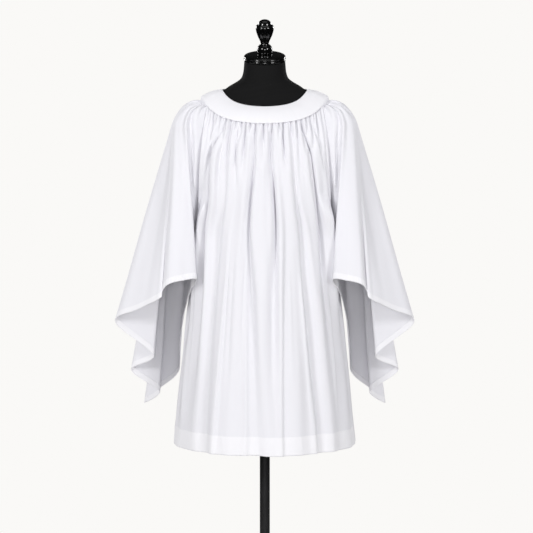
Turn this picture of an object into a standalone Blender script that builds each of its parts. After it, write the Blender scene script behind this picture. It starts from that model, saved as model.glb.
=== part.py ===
"""Surplice on a limbless dress form.

A smooth round yoke lies on the form's shoulders. Two wide panels and two bell sleeves are gathered
into it, and the sleeves hang in folds beside the body with their openings turned to the front.

Metres, +Z up. The front faces -Y and the wearer's left is +X. The origin is on the floor under the
middle of the base. Every cloth piece is an open skin through sections worked out from the tables
below, given its wall by Solidify.
"""

from collections import namedtuple
from math import copysign, cos, exp, pi, radians, sin

import bpy
from mathutils import Matrix, Vector

# Cloth
WALL = 0.0016             # one layer of cloth
TURN_UP_STEP = 0.0022     # from the middle of a layer to the middle of the hem turned up inside it
MITRE_LIMIT = 0.4         # keeps the turn-up's corners short at a sharp fold
SEAM_INSET = 0.0007       # each panel's edge stops this far from the seam line
ARMHOLE_STEP = 0.0016     # the sleeve folds back beside the body, so it starts this far outside the seam
FRONT, BACK = -1, 1       # sign of Y
RIGHT, LEFT = -1, 1       # the wearer's sides, sign of X

# Round yoke: an oval neckline and an oval gathering seam, both higher on the shoulders
Oval = namedtuple("Oval", "half_width front back front_z side_z back_z")
NECKLINE = Oval(half_width=0.117, front=0.080, back=0.072, front_z=1.458, side_z=1.506, back_z=1.513)
GATHER_SEAM = Oval(half_width=0.172, front=0.119, back=0.114, front_z=1.414, side_z=1.486, back_z=1.455)
YOKE_CROWN = 0.003        # how far the yoke is rounded above the straight line across it
YOKE_COLUMNS, YOKE_ROWS = 26, 3

# Body: sections from the gathering seam to the hem. z is the height of the section's side edge, edge_x
# and edge_y are the place of that edge, front and back are the depths at the middle, and arc is the
# part of a quarter turn, in degrees, that the section takes from the middle to its edge. The first
# section lies on the gathering seam.
Section = namedtuple("Section", "z edge_x edge_y front back arc")
SECTIONS = (
    Section(1.4626, 0.1559, 0.050, 0.119, 0.114, 65),
    Section(1.4510, 0.1592, 0.057, 0.1245, 0.119, 65),
    Section(1.4340, 0.1625, 0.065, 0.1295, 0.123, 65),
    Section(1.4080, 0.1668, 0.076, 0.134, 0.127, 66),
    Section(1.3700, 0.1715, 0.084, 0.138, 0.131, 66),
    Section(1.3200, 0.1755, 0.085, 0.141, 0.135, 68),
    Section(1.2600, 0.1780, 0.076, 0.144, 0.139, 72),
    Section(1.2000, 0.1785, 0.055, 0.147, 0.143, 78),
    Section(1.1550, 0.1790, 0.026, 0.149, 0.146, 86),
    Section(1.1300, 0.1800, 0.000, 0.150, 0.148, 90),
    Section(1.0300, 0.1920, 0.000, 0.156, 0.154, 90),
    Section(0.9200, 0.2075, 0.000, 0.164, 0.162, 90),
    Section(0.8000, 0.2225, 0.000, 0.173, 0.171, 90),
    Section(0.6700, 0.2370, 0.000, 0.183, 0.181, 90),
    Section(0.5800, 0.2465, 0.000, 0.190, 0.188, 90),
    Section(0.5300, 0.2520, 0.000, 0.194, 0.192, 90),
)
ARMHOLE_ROWS = 10         # sections on the armhole edge, the last one at the underarm
BODY_COLUMNS = 28
HEM_DEPTH = 0.050         # depth of the turn-up on the body
GATHER_START = 0.03       # share of the panel's length in which the folds grow from the seam

# Folds of the body: places across the panel (-1 and 1 at its side edges) at the gathering seam, the
# chest and the hem, half width in the same share, and height out of the cloth in metres.
Fold = namedtuple("Fold", "top chest hem width rise_chest rise_waist rise_hem")
FRONT_FOLDS = (
    Fold(-0.60, -0.72, -0.62, 0.060, -0.011, -0.010, -0.002),
    Fold(-0.47, -0.48, -0.46, 0.060, -0.006, -0.005, -0.008),
    Fold(-0.36, -0.37, -0.37, 0.050, 0.003, 0.003, 0.007),
    Fold(-0.12, -0.13, -0.06, 0.045, -0.009, -0.010, -0.010),
    Fold(0.10, 0.12, 0.07, 0.040, -0.009, -0.009, -0.003),
    Fold(0.16, 0.19, 0.13, 0.035, 0.003, 0.006, 0.007),
    Fold(0.37, 0.38, 0.43, 0.055, -0.007, -0.008, -0.009),
    Fold(0.54, 0.67, 0.60, 0.060, -0.011, -0.009, 0.004),
)
BACK_FOLDS = (
    Fold(-0.62, -0.70, -0.66, 0.060, -0.010, -0.009, -0.004),
    Fold(-0.42, -0.45, -0.48, 0.055, -0.006, -0.008, -0.010),
    Fold(-0.25, -0.27, -0.26, 0.045, 0.004, 0.005, 0.007),
    Fold(-0.05, -0.03, -0.08, 0.045, -0.009, -0.009, -0.009),
    Fold(0.14, 0.17, 0.19, 0.040, -0.008, -0.009, -0.006),
    Fold(0.30, 0.33, 0.34, 0.045, 0.004, 0.005, 0.008),
    Fold(0.47, 0.50, 0.50, 0.055, -0.007, -0.008, -0.009),
    Fold(0.64, 0.72, 0.68, 0.060, -0.010, -0.008, -0.003),
)

# Sleeve: lines that run from the gathering seam to the opening, from the front seam edge round the
# outside of the arm to the back seam edge. turn is the line's place on the yoke in degrees from the
# middle of the front, cap_x and cap_y are its place at shoulder level, and the hem columns are its
# end. The lines from the tip to the corner make the folds in which the opening cascades.
Line = namedtuple("Line", "turn cap_x cap_y hem_x hem_y hem_z")
SLEEVE_LINES = (
    Line(65, 0.168, -0.078, 0.226, 0.000, 0.880),    # underarm seam, front edge
    Line(66, 0.188, -0.086, 0.204, -0.060, 0.952),   # inner side, facing the body
    Line(68, 0.208, -0.085, 0.184, -0.104, 0.994),   # front crest
    Line(71, 0.222, -0.081, 0.218, -0.124, 0.994),   # over the wrist
    Line(74, 0.236, -0.070, 0.258, -0.126, 0.984),   # over the wrist
    Line(78, 0.245, -0.056, 0.276, -0.104, 0.962),   # step in the front edge, inner fold
    Line(81, 0.250, -0.045, 0.283, -0.116, 0.944),   # step in the front edge, outer fold
    Line(85, 0.253, -0.025, 0.344, -0.082, 0.911),   # front panel
    Line(90, 0.255, -0.003, 0.410, -0.034, 0.869),   # outer tip
    Line(95, 0.254, 0.018, 0.310, 0.002, 0.773),     # first valley
    Line(99, 0.251, 0.036, 0.373, 0.040, 0.725),     # second crest
    Line(103, 0.247, 0.052, 0.300, 0.068, 0.660),    # second valley
    Line(107, 0.239, 0.066, 0.343, 0.100, 0.622),    # lowest tip
    Line(110, 0.226, 0.079, 0.298, 0.126, 0.662),    # back
    Line(112, 0.208, 0.087, 0.249, 0.116, 0.706),    # back corner
    Line(114, 0.188, 0.088, 0.238, 0.062, 0.792),    # inner side, behind the arm
    Line(115, 0.168, 0.080, 0.226, 0.000, 0.880),    # underarm seam, back edge
)
CAP_Z = 1.400             # shoulder level, where the sleeve starts to hang straight
CAP_SHARE = 0.22          # share of the sleeve's length above that level
CAP_PUFF, CAP_RISE = 0.120, 0.012   # pull of the rounded head away from the yoke, and upwards
SLEEVE_COLUMNS_PER_LINE = 2
HANGING_ROWS = 4          # rows from the underarm to the opening
PINNED_LINES = 2.0        # lines over which the sleeve eases away from its seam edge
SLEEVE_HEM_DEPTH = 0.016

# Dress form: sections of the torso and neck from the top down. slope leans a section forwards, and
# roundness is 2 for an ellipse and less for the lens-shaped sections through the shoulders.
TorsoSection = namedtuple("TorsoSection", "z half_width front back slope roundness")
TORSO = (
    TorsoSection(1.584, 0.0558, 0.0558, 0.0558, 0.287, 2.0),
    TorsoSection(1.570, 0.0568, 0.0558, 0.0570, 0.250, 2.0),
    TorsoSection(1.552, 0.0588, 0.0562, 0.0590, 0.180, 2.0),
    TorsoSection(1.537, 0.0640, 0.0570, 0.0610, 0.100, 1.9),
    TorsoSection(1.527, 0.0755, 0.0580, 0.0630, 0.050, 1.7),
    TorsoSection(1.515, 0.0960, 0.0595, 0.0670, 0.020, 1.5),
    TorsoSection(1.501, 0.1160, 0.0600, 0.0730, 0.000, 1.5),
    TorsoSection(1.490, 0.1400, 0.0615, 0.0780, 0.000, 1.45),
    TorsoSection(1.477, 0.1660, 0.0640, 0.0840, 0.000, 1.6),
    TorsoSection(1.462, 0.1810, 0.0710, 0.0900, 0.000, 1.8),
    TorsoSection(1.440, 0.1900, 0.0840, 0.0990, 0.000, 1.9),
    TorsoSection(1.410, 0.1905, 0.1000, 0.1060, 0.000, 2.0),
    TorsoSection(1.350, 0.1860, 0.1180, 0.1120, 0.000, 2.0),
    TorsoSection(1.280, 0.1740, 0.1240, 0.1100, 0.000, 2.1),
    TorsoSection(1.180, 0.1580, 0.1160, 0.1020, 0.000, 2.2),
    TorsoSection(1.060, 0.1460, 0.1020, 0.0950, 0.000, 2.2),
    TorsoSection(0.940, 0.1540, 0.1090, 0.1080, 0.000, 2.2),
    TorsoSection(0.850, 0.1620, 0.1150, 0.1180, 0.000, 2.2),
    TorsoSection(0.810, 0.1620, 0.1150, 0.1180, 0.000, 2.2),
)
TORSO_SIDES = 36
CONTACT_GAP = 0.0003      # between hard pieces that touch

# Neck cap and finial, turned about the neck's leaning axis
NECK_LEAN = radians(16)
CAP_UNDERSIDE = Vector((0.0, 0.0, TORSO[0].z + CONTACT_GAP))
TurnedRing = namedtuple("TurnedRing", "radius height")
NECK_CAP = (
    TurnedRing(0.0240, 0.0180), TurnedRing(0.0440, 0.0165), TurnedRing(0.0535, 0.0145),
    TurnedRing(0.0568, 0.0115), TurnedRing(0.0560, 0.0085), TurnedRing(0.0574, 0.0060),
    TurnedRing(0.0574, 0.0020), TurnedRing(0.0560, 0.0000),
)
FINIAL = (
    TurnedRing(0.0095, 0.0935), TurnedRing(0.0155, 0.0880), TurnedRing(0.0180, 0.0815),
    TurnedRing(0.0238, 0.0765), TurnedRing(0.0247, 0.0715), TurnedRing(0.0236, 0.0610),
    TurnedRing(0.0195, 0.0490), TurnedRing(0.0140, 0.0380), TurnedRing(0.0113, 0.0300),
    TurnedRing(0.0118, 0.0265), TurnedRing(0.0175, 0.0205), TurnedRing(0.0207, 0.0160),
    TurnedRing(0.0207, 0.0050), TurnedRing(0.0196, 0.0000),
)
FINIAL_SIDES = 28

# Stand
BOARD_THICKNESS, BOARD_INSET = 0.012, 0.004
POLE_RADIUS, POLE_SIDES = 0.014, 24
BASE_RADIUS, BASE_SIDES = 0.165, 48
BASE_PROFILE = (
    TurnedRing(0.0240, 0.0300), TurnedRing(0.0260, 0.0160), TurnedRing(0.0400, 0.0125),
    TurnedRing(BASE_RADIUS - 0.010, 0.0100), TurnedRing(BASE_RADIUS, 0.0060), TurnedRing(BASE_RADIUS, 0.0000),
)

Finish = namedtuple("Finish", "name colour roughness metallic")
WHITE_CLOTH = Finish("white_cloth", (0.86, 0.86, 0.89), 0.85, 0.0)
BLACK_COVER = Finish("black_cover_cloth", (0.012, 0.012, 0.013), 0.9, 0.0)
BLACK_WOOD = Finish("black_gloss_wood", (0.010, 0.010, 0.011), 0.18, 0.0)
BLACK_STEEL = Finish("black_steel", (0.020, 0.020, 0.022), 0.40, 0.8)


# ---------------------------------------------------------------- numbers and tables

def clamp(value):
    """The value kept between 0 and 1."""
    return min(max(value, 0.0), 1.0)


def smooth(value):
    """Eased step from 0 to 1."""
    value = clamp(value)
    return value * value * (3.0 - 2.0 * value)


def between(rows, place):
    """Row of a table at a real-numbered place in it, on a smooth curve through the rows."""
    last = len(rows) - 1
    index = min(int(max(place, 0.0)), last - 1)
    share = place - index
    before, start = rows[max(index - 1, 0)], rows[index]
    end, after = rows[index + 1], rows[min(index + 2, last)]
    values = []
    for a, b, c, d in zip(before, start, end, after):
        slope_in, slope_out = (c - a) / 2.0, (d - b) / 2.0
        cubic = 2.0 * (b - c) + slope_in + slope_out
        square = 3.0 * (c - b) - 2.0 * slope_in - slope_out
        values.append(((cubic * share + square) * share + slope_in) * share + b)
    return type(start)(*values)


def place_of_height(rows, z):
    """Real-numbered place in a table of falling heights where z lies."""
    for index in range(len(rows) - 1):
        if z >= rows[index + 1].z:
            return index + (rows[index].z - z) / (rows[index].z - rows[index + 1].z)
    return float(len(rows) - 1)


# ---------------------------------------------------------------- yoke

def oval_point(oval, turn):
    """Point of a yoke oval at a turn in radians from the middle of the front, towards +X."""
    across = abs(sin(turn))
    is_front = cos(turn) >= 0.0
    depth = oval.front if is_front else oval.back
    middle_z = oval.front_z if is_front else oval.back_z
    rise = 0.45 * across ** 2 + 0.55 * across ** 6
    z = middle_z + (oval.side_z - middle_z) * rise
    return Vector((oval.half_width * sin(turn), -depth * cos(turn), z))


def yoke_point(turn, share):
    """Point of the yoke from the neckline (share 0) to the gathering seam (share 1)."""
    inner, outer = oval_point(NECKLINE, turn), oval_point(GATHER_SEAM, turn)
    across = outer - inner
    outer = outer - across.normalized() * SEAM_INSET
    along = oval_point(GATHER_SEAM, turn + 0.01) - oval_point(GATHER_SEAM, turn - 0.01)
    upwards = across.cross(along).normalized()
    return inner.lerp(outer, share) + upwards * YOKE_CROWN * sin(pi * share)


def yoke_grid(face):
    """Rows of points of the front or back half of the yoke, from one shoulder seam to the other."""
    middle = 0.0 if face == FRONT else pi
    quarter = pi / 2.0 - SEAM_INSET / GATHER_SEAM.front
    turns = [middle + quarter * (2.0 * i / YOKE_COLUMNS - 1.0) for i in range(YOKE_COLUMNS + 1)]
    return [[yoke_point(turn, j / YOKE_ROWS) for turn in turns] for j in range(YOKE_ROWS + 1)]


# ---------------------------------------------------------------- body

TOP_Z, HEM_Z = SECTIONS[0].z, SECTIONS[-1].z
UNDERARM_Z = SECTIONS[ARMHOLE_ROWS - 1].z


def fold_relief(folds, across, down):
    """Height of the folds above the plain panel at a place across it and down it."""
    grow = smooth(down / GATHER_START) * smooth((1.0 - abs(across)) / 0.12)
    total = 0.0
    for fold in folds:
        if down < 0.2:
            place = fold.top + (fold.chest - fold.top) * smooth(down / 0.2)
            rise = fold.rise_chest
        else:
            place = fold.chest + (fold.hem - fold.chest) * smooth((down - 0.2) / 0.8)
            lower = (down - 0.2) / 0.8
            if lower < 0.5:
                rise = fold.rise_chest + (fold.rise_waist - fold.rise_chest) * smooth(lower * 2.0)
            else:
                rise = fold.rise_waist + (fold.rise_hem - fold.rise_waist) * smooth(lower * 2.0 - 1.0)
        total += rise * exp(-((across - place) / fold.width) ** 2)
    return total * grow


def row_height(face, across, z_edge):
    """Height of a row of the body: along the gathering seam at the top, level from the underarm down."""
    middle = 0.0 if face == FRONT else pi
    seam_z = oval_point(GATHER_SEAM, middle + radians(SECTIONS[0].arc) * across).z
    return z_edge + (seam_z - TOP_Z) * (1.0 - smooth((TOP_Z - z_edge) / (TOP_Z - UNDERARM_Z)))


def body_plain(face, across, z_edge):
    """Point of the unfolded body panel, across from -1 to 1, on the section whose edge is at z_edge."""
    section = between(SECTIONS, place_of_height(SECTIONS, z_edge))
    arc = radians(section.arc)
    depth = section.front if face == FRONT else section.back
    edge_x = section.edge_x - SEAM_INSET
    edge_y = max(section.edge_y, SEAM_INSET)
    x = edge_x * sin(arc * across) / sin(arc)
    y = face * (depth - (depth - edge_y) * (1.0 - cos(arc * across)) / (1.0 - cos(arc)))
    return Vector((x, y, row_height(face, across, z_edge) - SEAM_INSET))


def body_point(face, across, z_edge):
    """Point of the body panel with its folds."""
    point = body_plain(face, across, z_edge)
    step = 0.01 if across < 0.0 else -0.01
    along = body_plain(face, across + step, z_edge) - point
    out = Vector((along.y, -along.x, 0.0)).normalized()
    if out.y * face < 0.0:
        out.negate()
    folds = FRONT_FOLDS if face == FRONT else BACK_FOLDS
    down = (TOP_Z - z_edge) / (TOP_Z - HEM_Z)
    return point + out * fold_relief(folds, across, down)


def body_grid(face, heights):
    """Rows of points of a body panel at the given heights of its side edge."""
    shares = [2.0 * i / BODY_COLUMNS - 1.0 for i in range(BODY_COLUMNS + 1)]
    return [[body_point(face, across, z) for across in shares] for z in heights]


# ---------------------------------------------------------------- sleeves

SEAM_HEM_Z = SLEEVE_LINES[0].hem_z
LAST_LINE = len(SLEEVE_LINES) - 1


def armhole_edge(z, face):
    """Seam edge of the sleeve at a height: the armhole down to the underarm, then the inner seam."""
    if z >= UNDERARM_Z:
        section = between(SECTIONS, place_of_height(SECTIONS, z))
        return Vector((section.edge_x + ARMHOLE_STEP, face * section.edge_y, row_height(face, 1.0, z)))
    underarm, end = SECTIONS[ARMHOLE_ROWS - 1], SLEEVE_LINES[0]
    share = (UNDERARM_Z - z) / (UNDERARM_Z - SEAM_HEM_Z)
    x = underarm.edge_x + ARMHOLE_STEP + (end.hem_x - underarm.edge_x) * share
    return Vector((x, end.hem_y * share, z))


def down_of_height(z):
    """Share of the sleeve's length at which its seam edge passes a height."""
    if z >= CAP_Z:
        return CAP_SHARE * (TOP_Z - z) / (TOP_Z - CAP_Z)
    return CAP_SHARE + (1.0 - CAP_SHARE) * (CAP_Z - z) / (CAP_Z - SEAM_HEM_Z)


def height_of_down(down):
    """Height of the seam edge at a share of the sleeve's length."""
    if down <= CAP_SHARE:
        return TOP_Z - (TOP_Z - CAP_Z) * down / CAP_SHARE
    return CAP_Z - (CAP_Z - SEAM_HEM_Z) * (down - CAP_SHARE) / (1.0 - CAP_SHARE)


def sleeve_free(place, down):
    """Point of the sleeve before its seam edges are pinned, for the side at +X."""
    line = between(SLEEVE_LINES, place)
    turn = radians(line.turn)
    start = oval_point(GATHER_SEAM, turn)
    cap = Vector((line.cap_x, line.cap_y, CAP_Z))
    end = Vector((line.hem_x, line.hem_y, line.hem_z))
    if down >= CAP_SHARE:
        return cap.lerp(end, (down - CAP_SHARE) / (1.0 - CAP_SHARE))
    outwards = Vector((sin(turn), -cos(turn), 0.0))
    start = start + outwards * SEAM_INSET
    share = down / CAP_SHARE
    pull_out = outwards * CAP_PUFF + Vector((0.0, 0.0, CAP_RISE))
    pull_down = (end - cap).normalized() * (cap - start).length
    square, cube = share * share, share * share * share
    return (start * (2.0 * cube - 3.0 * square + 1.0) + pull_out * (cube - 2.0 * square + share)
            + cap * (3.0 * square - 2.0 * cube) + pull_down * (cube - square))


def sleeve_point(place, down):
    """Point of the sleeve at a real-numbered place among its lines and a share of its length."""
    point = sleeve_free(place, down)
    z = height_of_down(down)
    for face, edge_place in ((FRONT, 0.0), (BACK, float(LAST_LINE))):
        away = abs(place - edge_place) / PINNED_LINES
        if away < 1.0:
            shift = armhole_edge(z, face) - sleeve_free(edge_place, down)
            point = point + shift * (1.0 - smooth(away))
    return point


def sleeve_grid(side):
    """Rows of points of a sleeve, and the row from which its seam edges are joined."""
    downs = [down_of_height(section.z) for section in SECTIONS[:ARMHOLE_ROWS]]
    underarm = downs[-1]
    downs += [underarm + (1.0 - underarm) * (i + 1) / HANGING_ROWS for i in range(HANGING_ROWS)]
    count = LAST_LINE * SLEEVE_COLUMNS_PER_LINE
    places = [LAST_LINE * i / count for i in range(count + 1)]
    rows = [[sleeve_point(place, down) for place in places] for down in downs]
    above, edge = rows[-2], rows[-1]
    turn_up = [low.lerp(high, SLEEVE_HEM_DEPTH / (high - low).length) for high, low in zip(above, edge)]
    rows.insert(-1, turn_up)
    return [[Vector((side * p.x, p.y, p.z)) for p in row] for row in rows], ARMHOLE_ROWS - 1


# ---------------------------------------------------------------- building

def make_material(finish):
    """Principled material of a finish, made once."""
    material = bpy.data.materials.get(finish.name)
    if material is None:
        material = bpy.data.materials.new(finish.name)
        material.use_nodes = True
        shader = material.node_tree.nodes["Principled BSDF"]
        shader.inputs["Base Color"].default_value = (*finish.colour, 1.0)
        shader.inputs["Roughness"].default_value = finish.roughness
        shader.inputs["Metallic"].default_value = finish.metallic
    return material


def link_mesh(name, points, faces, finish, collection):
    """New smooth-shaded mesh object from points and faces."""
    mesh = bpy.data.meshes.new(name)
    mesh.from_pydata([tuple(point) for point in points], [], faces)
    mesh.materials.append(make_material(finish))
    mesh.shade_smooth()
    piece = bpy.data.objects.new(name, mesh)
    collection.objects.link(piece)
    return piece


def grid_faces(rows, columns, flip):
    """Quads of a grid of rows and columns of points."""
    faces = []
    for j in range(rows - 1):
        for i in range(columns - 1):
            corner = j * columns + i
            face = (corner, corner + 1, corner + columns + 1, corner + columns)
            faces.append(face[::-1] if flip else face)
    return faces


def inner_copy(grid, step, wrapped):
    """Grid moved by step along its normals, further at a fold, so that the layers stay even."""
    moved = []
    last_row, last_column = len(grid) - 1, len(grid[0]) - 1
    for j, row in enumerate(grid):
        line = []
        for i, point in enumerate(row):
            down = grid[min(j + 1, last_row)][i] - grid[max(j - 1, 0)][i]
            normals = []
            if i < last_column or wrapped:
                normals.append((row[i + 1 if i < last_column else 1] - point).cross(down).normalized())
            if i > 0 or wrapped:
                normals.append((point - row[i - 1 if i else last_column - 1]).cross(down).normalized())
            mean = (normals[0] + normals[-1]).normalized()
            line.append(point + mean * step / max(mean.dot(normals[0]), MITRE_LIMIT))
        moved.append(line)
    return moved


def make_cloth(name, grid, flip, collection, joined_from=None):
    """Cloth piece: a skin over a grid, its seam edges joined from one row down, thickened to a wall."""
    columns = len(grid[0])
    points = [point for row in grid for point in row]
    faces = grid_faces(len(grid), columns, flip)
    if joined_from is not None:
        twin = {j * columns + columns - 1: j * columns for j in range(joined_from, len(grid))}
        faces = [tuple(twin.get(corner, corner) for corner in face) for face in faces]
        kept = sorted({corner for face in faces for corner in face})
        number = {corner: i for i, corner in enumerate(kept)}
        points = [points[corner] for corner in kept]
        faces = [tuple(number[corner] for corner in face) for face in faces]
    piece = link_mesh(name, points, faces, WHITE_CLOTH, collection)
    wall = piece.modifiers.new("Wall", "SOLIDIFY")
    wall.thickness = WALL
    wall.offset = 0.0
    return piece


def make_turned(name, rings, sides, finish, collection, place=Matrix()):
    """Solid turned about Z from its outer rings, top to bottom, closed on the axis at both ends."""
    outline = [Vector((0.0, 0.0, rings[0].height))]
    outline += [Vector((ring.radius, 0.0, ring.height)) for ring in rings]
    outline.append(Vector((0.0, 0.0, rings[-1].height)))
    mesh = bpy.data.meshes.new(name)
    mesh.from_pydata(outline, [(i, i + 1) for i in range(len(outline) - 1)], [])
    mesh.materials.append(make_material(finish))
    piece = bpy.data.objects.new(name, mesh)
    collection.objects.link(piece)
    turn = piece.modifiers.new("Turned", "SCREW")
    turn.steps = turn.render_steps = sides
    turn.use_merge_vertices = True
    turn.merge_threshold = 0.0001
    turn.use_smooth_shade = True
    piece.matrix_world = place
    return piece


def make_yoke(collection):
    """Front and back halves of the yoke."""
    for name, face in (("yoke_front", FRONT), ("yoke_back", BACK)):
        make_cloth(name, yoke_grid(face), True, collection)


def make_body(collection):
    """Front and back panels and the turn-ups inside their hems."""
    heights = [section.z for section in SECTIONS]
    hem_heights = [HEM_Z + HEM_DEPTH, HEM_Z]
    for name, hem_name, face in (("body_front", "hem_front", FRONT), ("body_back", "hem_back", BACK)):
        flip = face == FRONT
        make_cloth(name, body_grid(face, heights), flip, collection)
        turned = inner_copy(body_grid(face, hem_heights), -face * TURN_UP_STEP, False)
        make_cloth(hem_name, turned, flip, collection)


def make_sleeves(collection):
    """Both sleeves and the narrow turn-ups inside their openings."""
    for suffix, side in (("right", RIGHT), ("left", LEFT)):
        grid, joined_from = sleeve_grid(side)
        flip = side == LEFT
        make_cloth("sleeve_" + suffix, grid, flip, collection, joined_from)
        band = inner_copy(grid[-2:], side * TURN_UP_STEP, True)
        make_cloth("sleeve_hem_" + suffix, band, flip, collection, 0)


def rounded(value, roundness):
    """Sine or cosine bent so that a section made from both has the given roundness."""
    return copysign(abs(value) ** (2.0 / roundness), value)


def torso_ring(section):
    """Points round a section of the torso, seen from above, anticlockwise."""
    ring = []
    for i in range(TORSO_SIDES):
        turn = 2.0 * pi * i / TORSO_SIDES
        depth = section.front if sin(turn) < 0.0 else section.back
        x = section.half_width * rounded(cos(turn), section.roundness)
        y = depth * rounded(sin(turn), section.roundness)
        ring.append(Vector((x, y, section.z + section.slope * y)))
    return ring


def make_torso(collection):
    """Torso and neck in one closed loft, with flat ends."""
    points = [point for section in TORSO for point in torso_ring(section)]
    faces = []
    for j in range(len(TORSO) - 1):
        for i in range(TORSO_SIDES):
            after = (i + 1) % TORSO_SIDES
            top, bottom = j * TORSO_SIDES, (j + 1) * TORSO_SIDES
            faces.append((top + i, bottom + i, bottom + after, top + after))
    faces.append(tuple(range(TORSO_SIDES)))
    last = (len(TORSO) - 1) * TORSO_SIDES
    faces.append(tuple(last + i for i in reversed(range(TORSO_SIDES))))
    link_mesh("form_torso", points, faces, BLACK_COVER, collection)


def make_neck_fittings(collection):
    """Neck cap and finial on the leaning axis of the neck."""
    lean = Matrix.Rotation(NECK_LEAN, 4, "X")
    cap_place = Matrix.Translation(CAP_UNDERSIDE) @ lean
    make_turned("neck_cap", NECK_CAP, TORSO_SIDES, BLACK_WOOD, collection, cap_place)
    rise = Matrix.Translation((0.0, 0.0, NECK_CAP[0].height + CONTACT_GAP))
    make_turned("finial", FINIAL, FINIAL_SIDES, BLACK_WOOD, collection, cap_place @ rise)


def make_stand(collection):
    """Board under the torso, pole and round base."""
    bottom = TORSO[-1]
    board_top = bottom.z - CONTACT_GAP
    bpy.ops.mesh.primitive_cylinder_add(vertices=TORSO_SIDES, radius=1.0, depth=BOARD_THICKNESS)
    board = bpy.context.object
    board.name = board.data.name = "torso_board"
    half_depth = (bottom.front + bottom.back) / 2.0 - BOARD_INSET
    middle = Vector((0.0, (bottom.back - bottom.front) / 2.0, board_top - BOARD_THICKNESS / 2.0))
    board.data.transform(Matrix.Diagonal((bottom.half_width - BOARD_INSET, half_depth, 1.0, 1.0)))
    board.location = middle
    board.data.materials.append(make_material(BLACK_WOOD))
    for home in list(board.users_collection):
        home.objects.unlink(board)
    collection.objects.link(board)
    pole_top = board_top - BOARD_THICKNESS - CONTACT_GAP
    pole_foot = BASE_PROFILE[0].height + CONTACT_GAP
    rings = (TurnedRing(POLE_RADIUS, pole_top), TurnedRing(POLE_RADIUS, pole_foot))
    make_turned("pole", rings, POLE_SIDES, BLACK_STEEL, collection)
    make_turned("base_plate", BASE_PROFILE, BASE_SIDES, BLACK_STEEL, collection)


def main():
    """Build the surplice and its dress form."""
    for thing in list(bpy.data.objects):
        bpy.data.objects.remove(thing, do_unlink=True)
    collection = bpy.data.collections.new("surplice_on_dress_form")
    bpy.context.scene.collection.children.link(collection)
    make_yoke(collection)
    make_body(collection)
    make_sleeves(collection)
    make_torso(collection)
    make_neck_fittings(collection)
    make_stand(collection)


main()
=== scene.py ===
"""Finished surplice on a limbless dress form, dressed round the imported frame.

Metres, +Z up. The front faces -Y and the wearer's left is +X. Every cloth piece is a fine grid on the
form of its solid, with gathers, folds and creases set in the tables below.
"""

import logging
from dataclasses import dataclass
from enum import Enum
from math import pi, radians
from typing import NamedTuple, Optional, Sequence

import bpy
import numpy as np
from mathutils import Matrix, Vector


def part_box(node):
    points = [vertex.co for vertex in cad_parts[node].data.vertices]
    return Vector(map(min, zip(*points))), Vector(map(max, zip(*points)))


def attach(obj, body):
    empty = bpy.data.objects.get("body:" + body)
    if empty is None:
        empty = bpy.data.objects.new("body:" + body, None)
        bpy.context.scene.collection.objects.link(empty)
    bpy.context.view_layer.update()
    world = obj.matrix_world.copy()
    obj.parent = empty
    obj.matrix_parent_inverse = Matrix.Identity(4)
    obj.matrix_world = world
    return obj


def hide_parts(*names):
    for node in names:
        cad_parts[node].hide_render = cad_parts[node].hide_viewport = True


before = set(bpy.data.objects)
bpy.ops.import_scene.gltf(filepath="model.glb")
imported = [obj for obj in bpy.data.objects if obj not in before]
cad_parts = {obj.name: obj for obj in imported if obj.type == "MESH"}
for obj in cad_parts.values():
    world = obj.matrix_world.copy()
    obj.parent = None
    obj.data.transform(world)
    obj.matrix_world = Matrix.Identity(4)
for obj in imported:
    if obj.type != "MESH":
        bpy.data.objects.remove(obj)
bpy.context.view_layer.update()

LOG = logging.getLogger("surplice")
Array = np.ndarray
MM = 0.001
BODY = "root"


class Face(Enum):
    """Front or back of the garment, with the sign of its Y."""

    FRONT = -1
    BACK = 1


class Side(Enum):
    """The wearer's right or left, with the sign of its X."""

    RIGHT = -1
    LEFT = 1


class Slot(Enum):
    """Material slots of the record."""

    CLOTH = "white_cloth"
    COVER = "black_cover"
    WOOD = "black_wood"
    STEEL = "black_steel"


# ---------------------------------------------------------------- sizes and tables

def table(kind: type, rows: Sequence[Sequence[float]]) -> tuple:
    """Rows of a table, each with its columns named by its kind."""
    return tuple(kind(*row) for row in rows)


SEAM_INSET = 0.00015      # each panel's edge stops this far from the seam line
ARMHOLE_STEP = 0.00030    # the sleeve starts this far outside the armhole seam
YOKE_LIFT = 0.0009        # the yoke's folded edge lies over the gathered cloth
YOKE_OVERLAP = 0.0015
CLOTH_WALL = 0.0007       # one layer of the cloth
YOKE_WALL = 0.0014        # the yoke is double
TURN_UP_STEP = 0.0011     # from the middle of a layer to the middle of the hem inside it
HEM_DEPTH = 0.050
SLEEVE_HEM_DEPTH = 0.016
DOUBLING, SLEEVE_DOUBLING = 0.0012, 0.001    # height over which each hem starts
SEAM_GROOVE = 0.0014      # how deep the armhole, side and underarm seams lie
GROOVE_WIDTH = 0.0035     # and how far their grooves reach
STITCH_INSET = 0.0022     # a line of stitching from the edge it holds


class Section(NamedTuple):
    """Section of the body: its edge's place and its depths at the middle. arc is in degrees."""

    z: float
    edge_x: float
    edge_y: float
    front: float
    back: float
    arc: float


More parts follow.
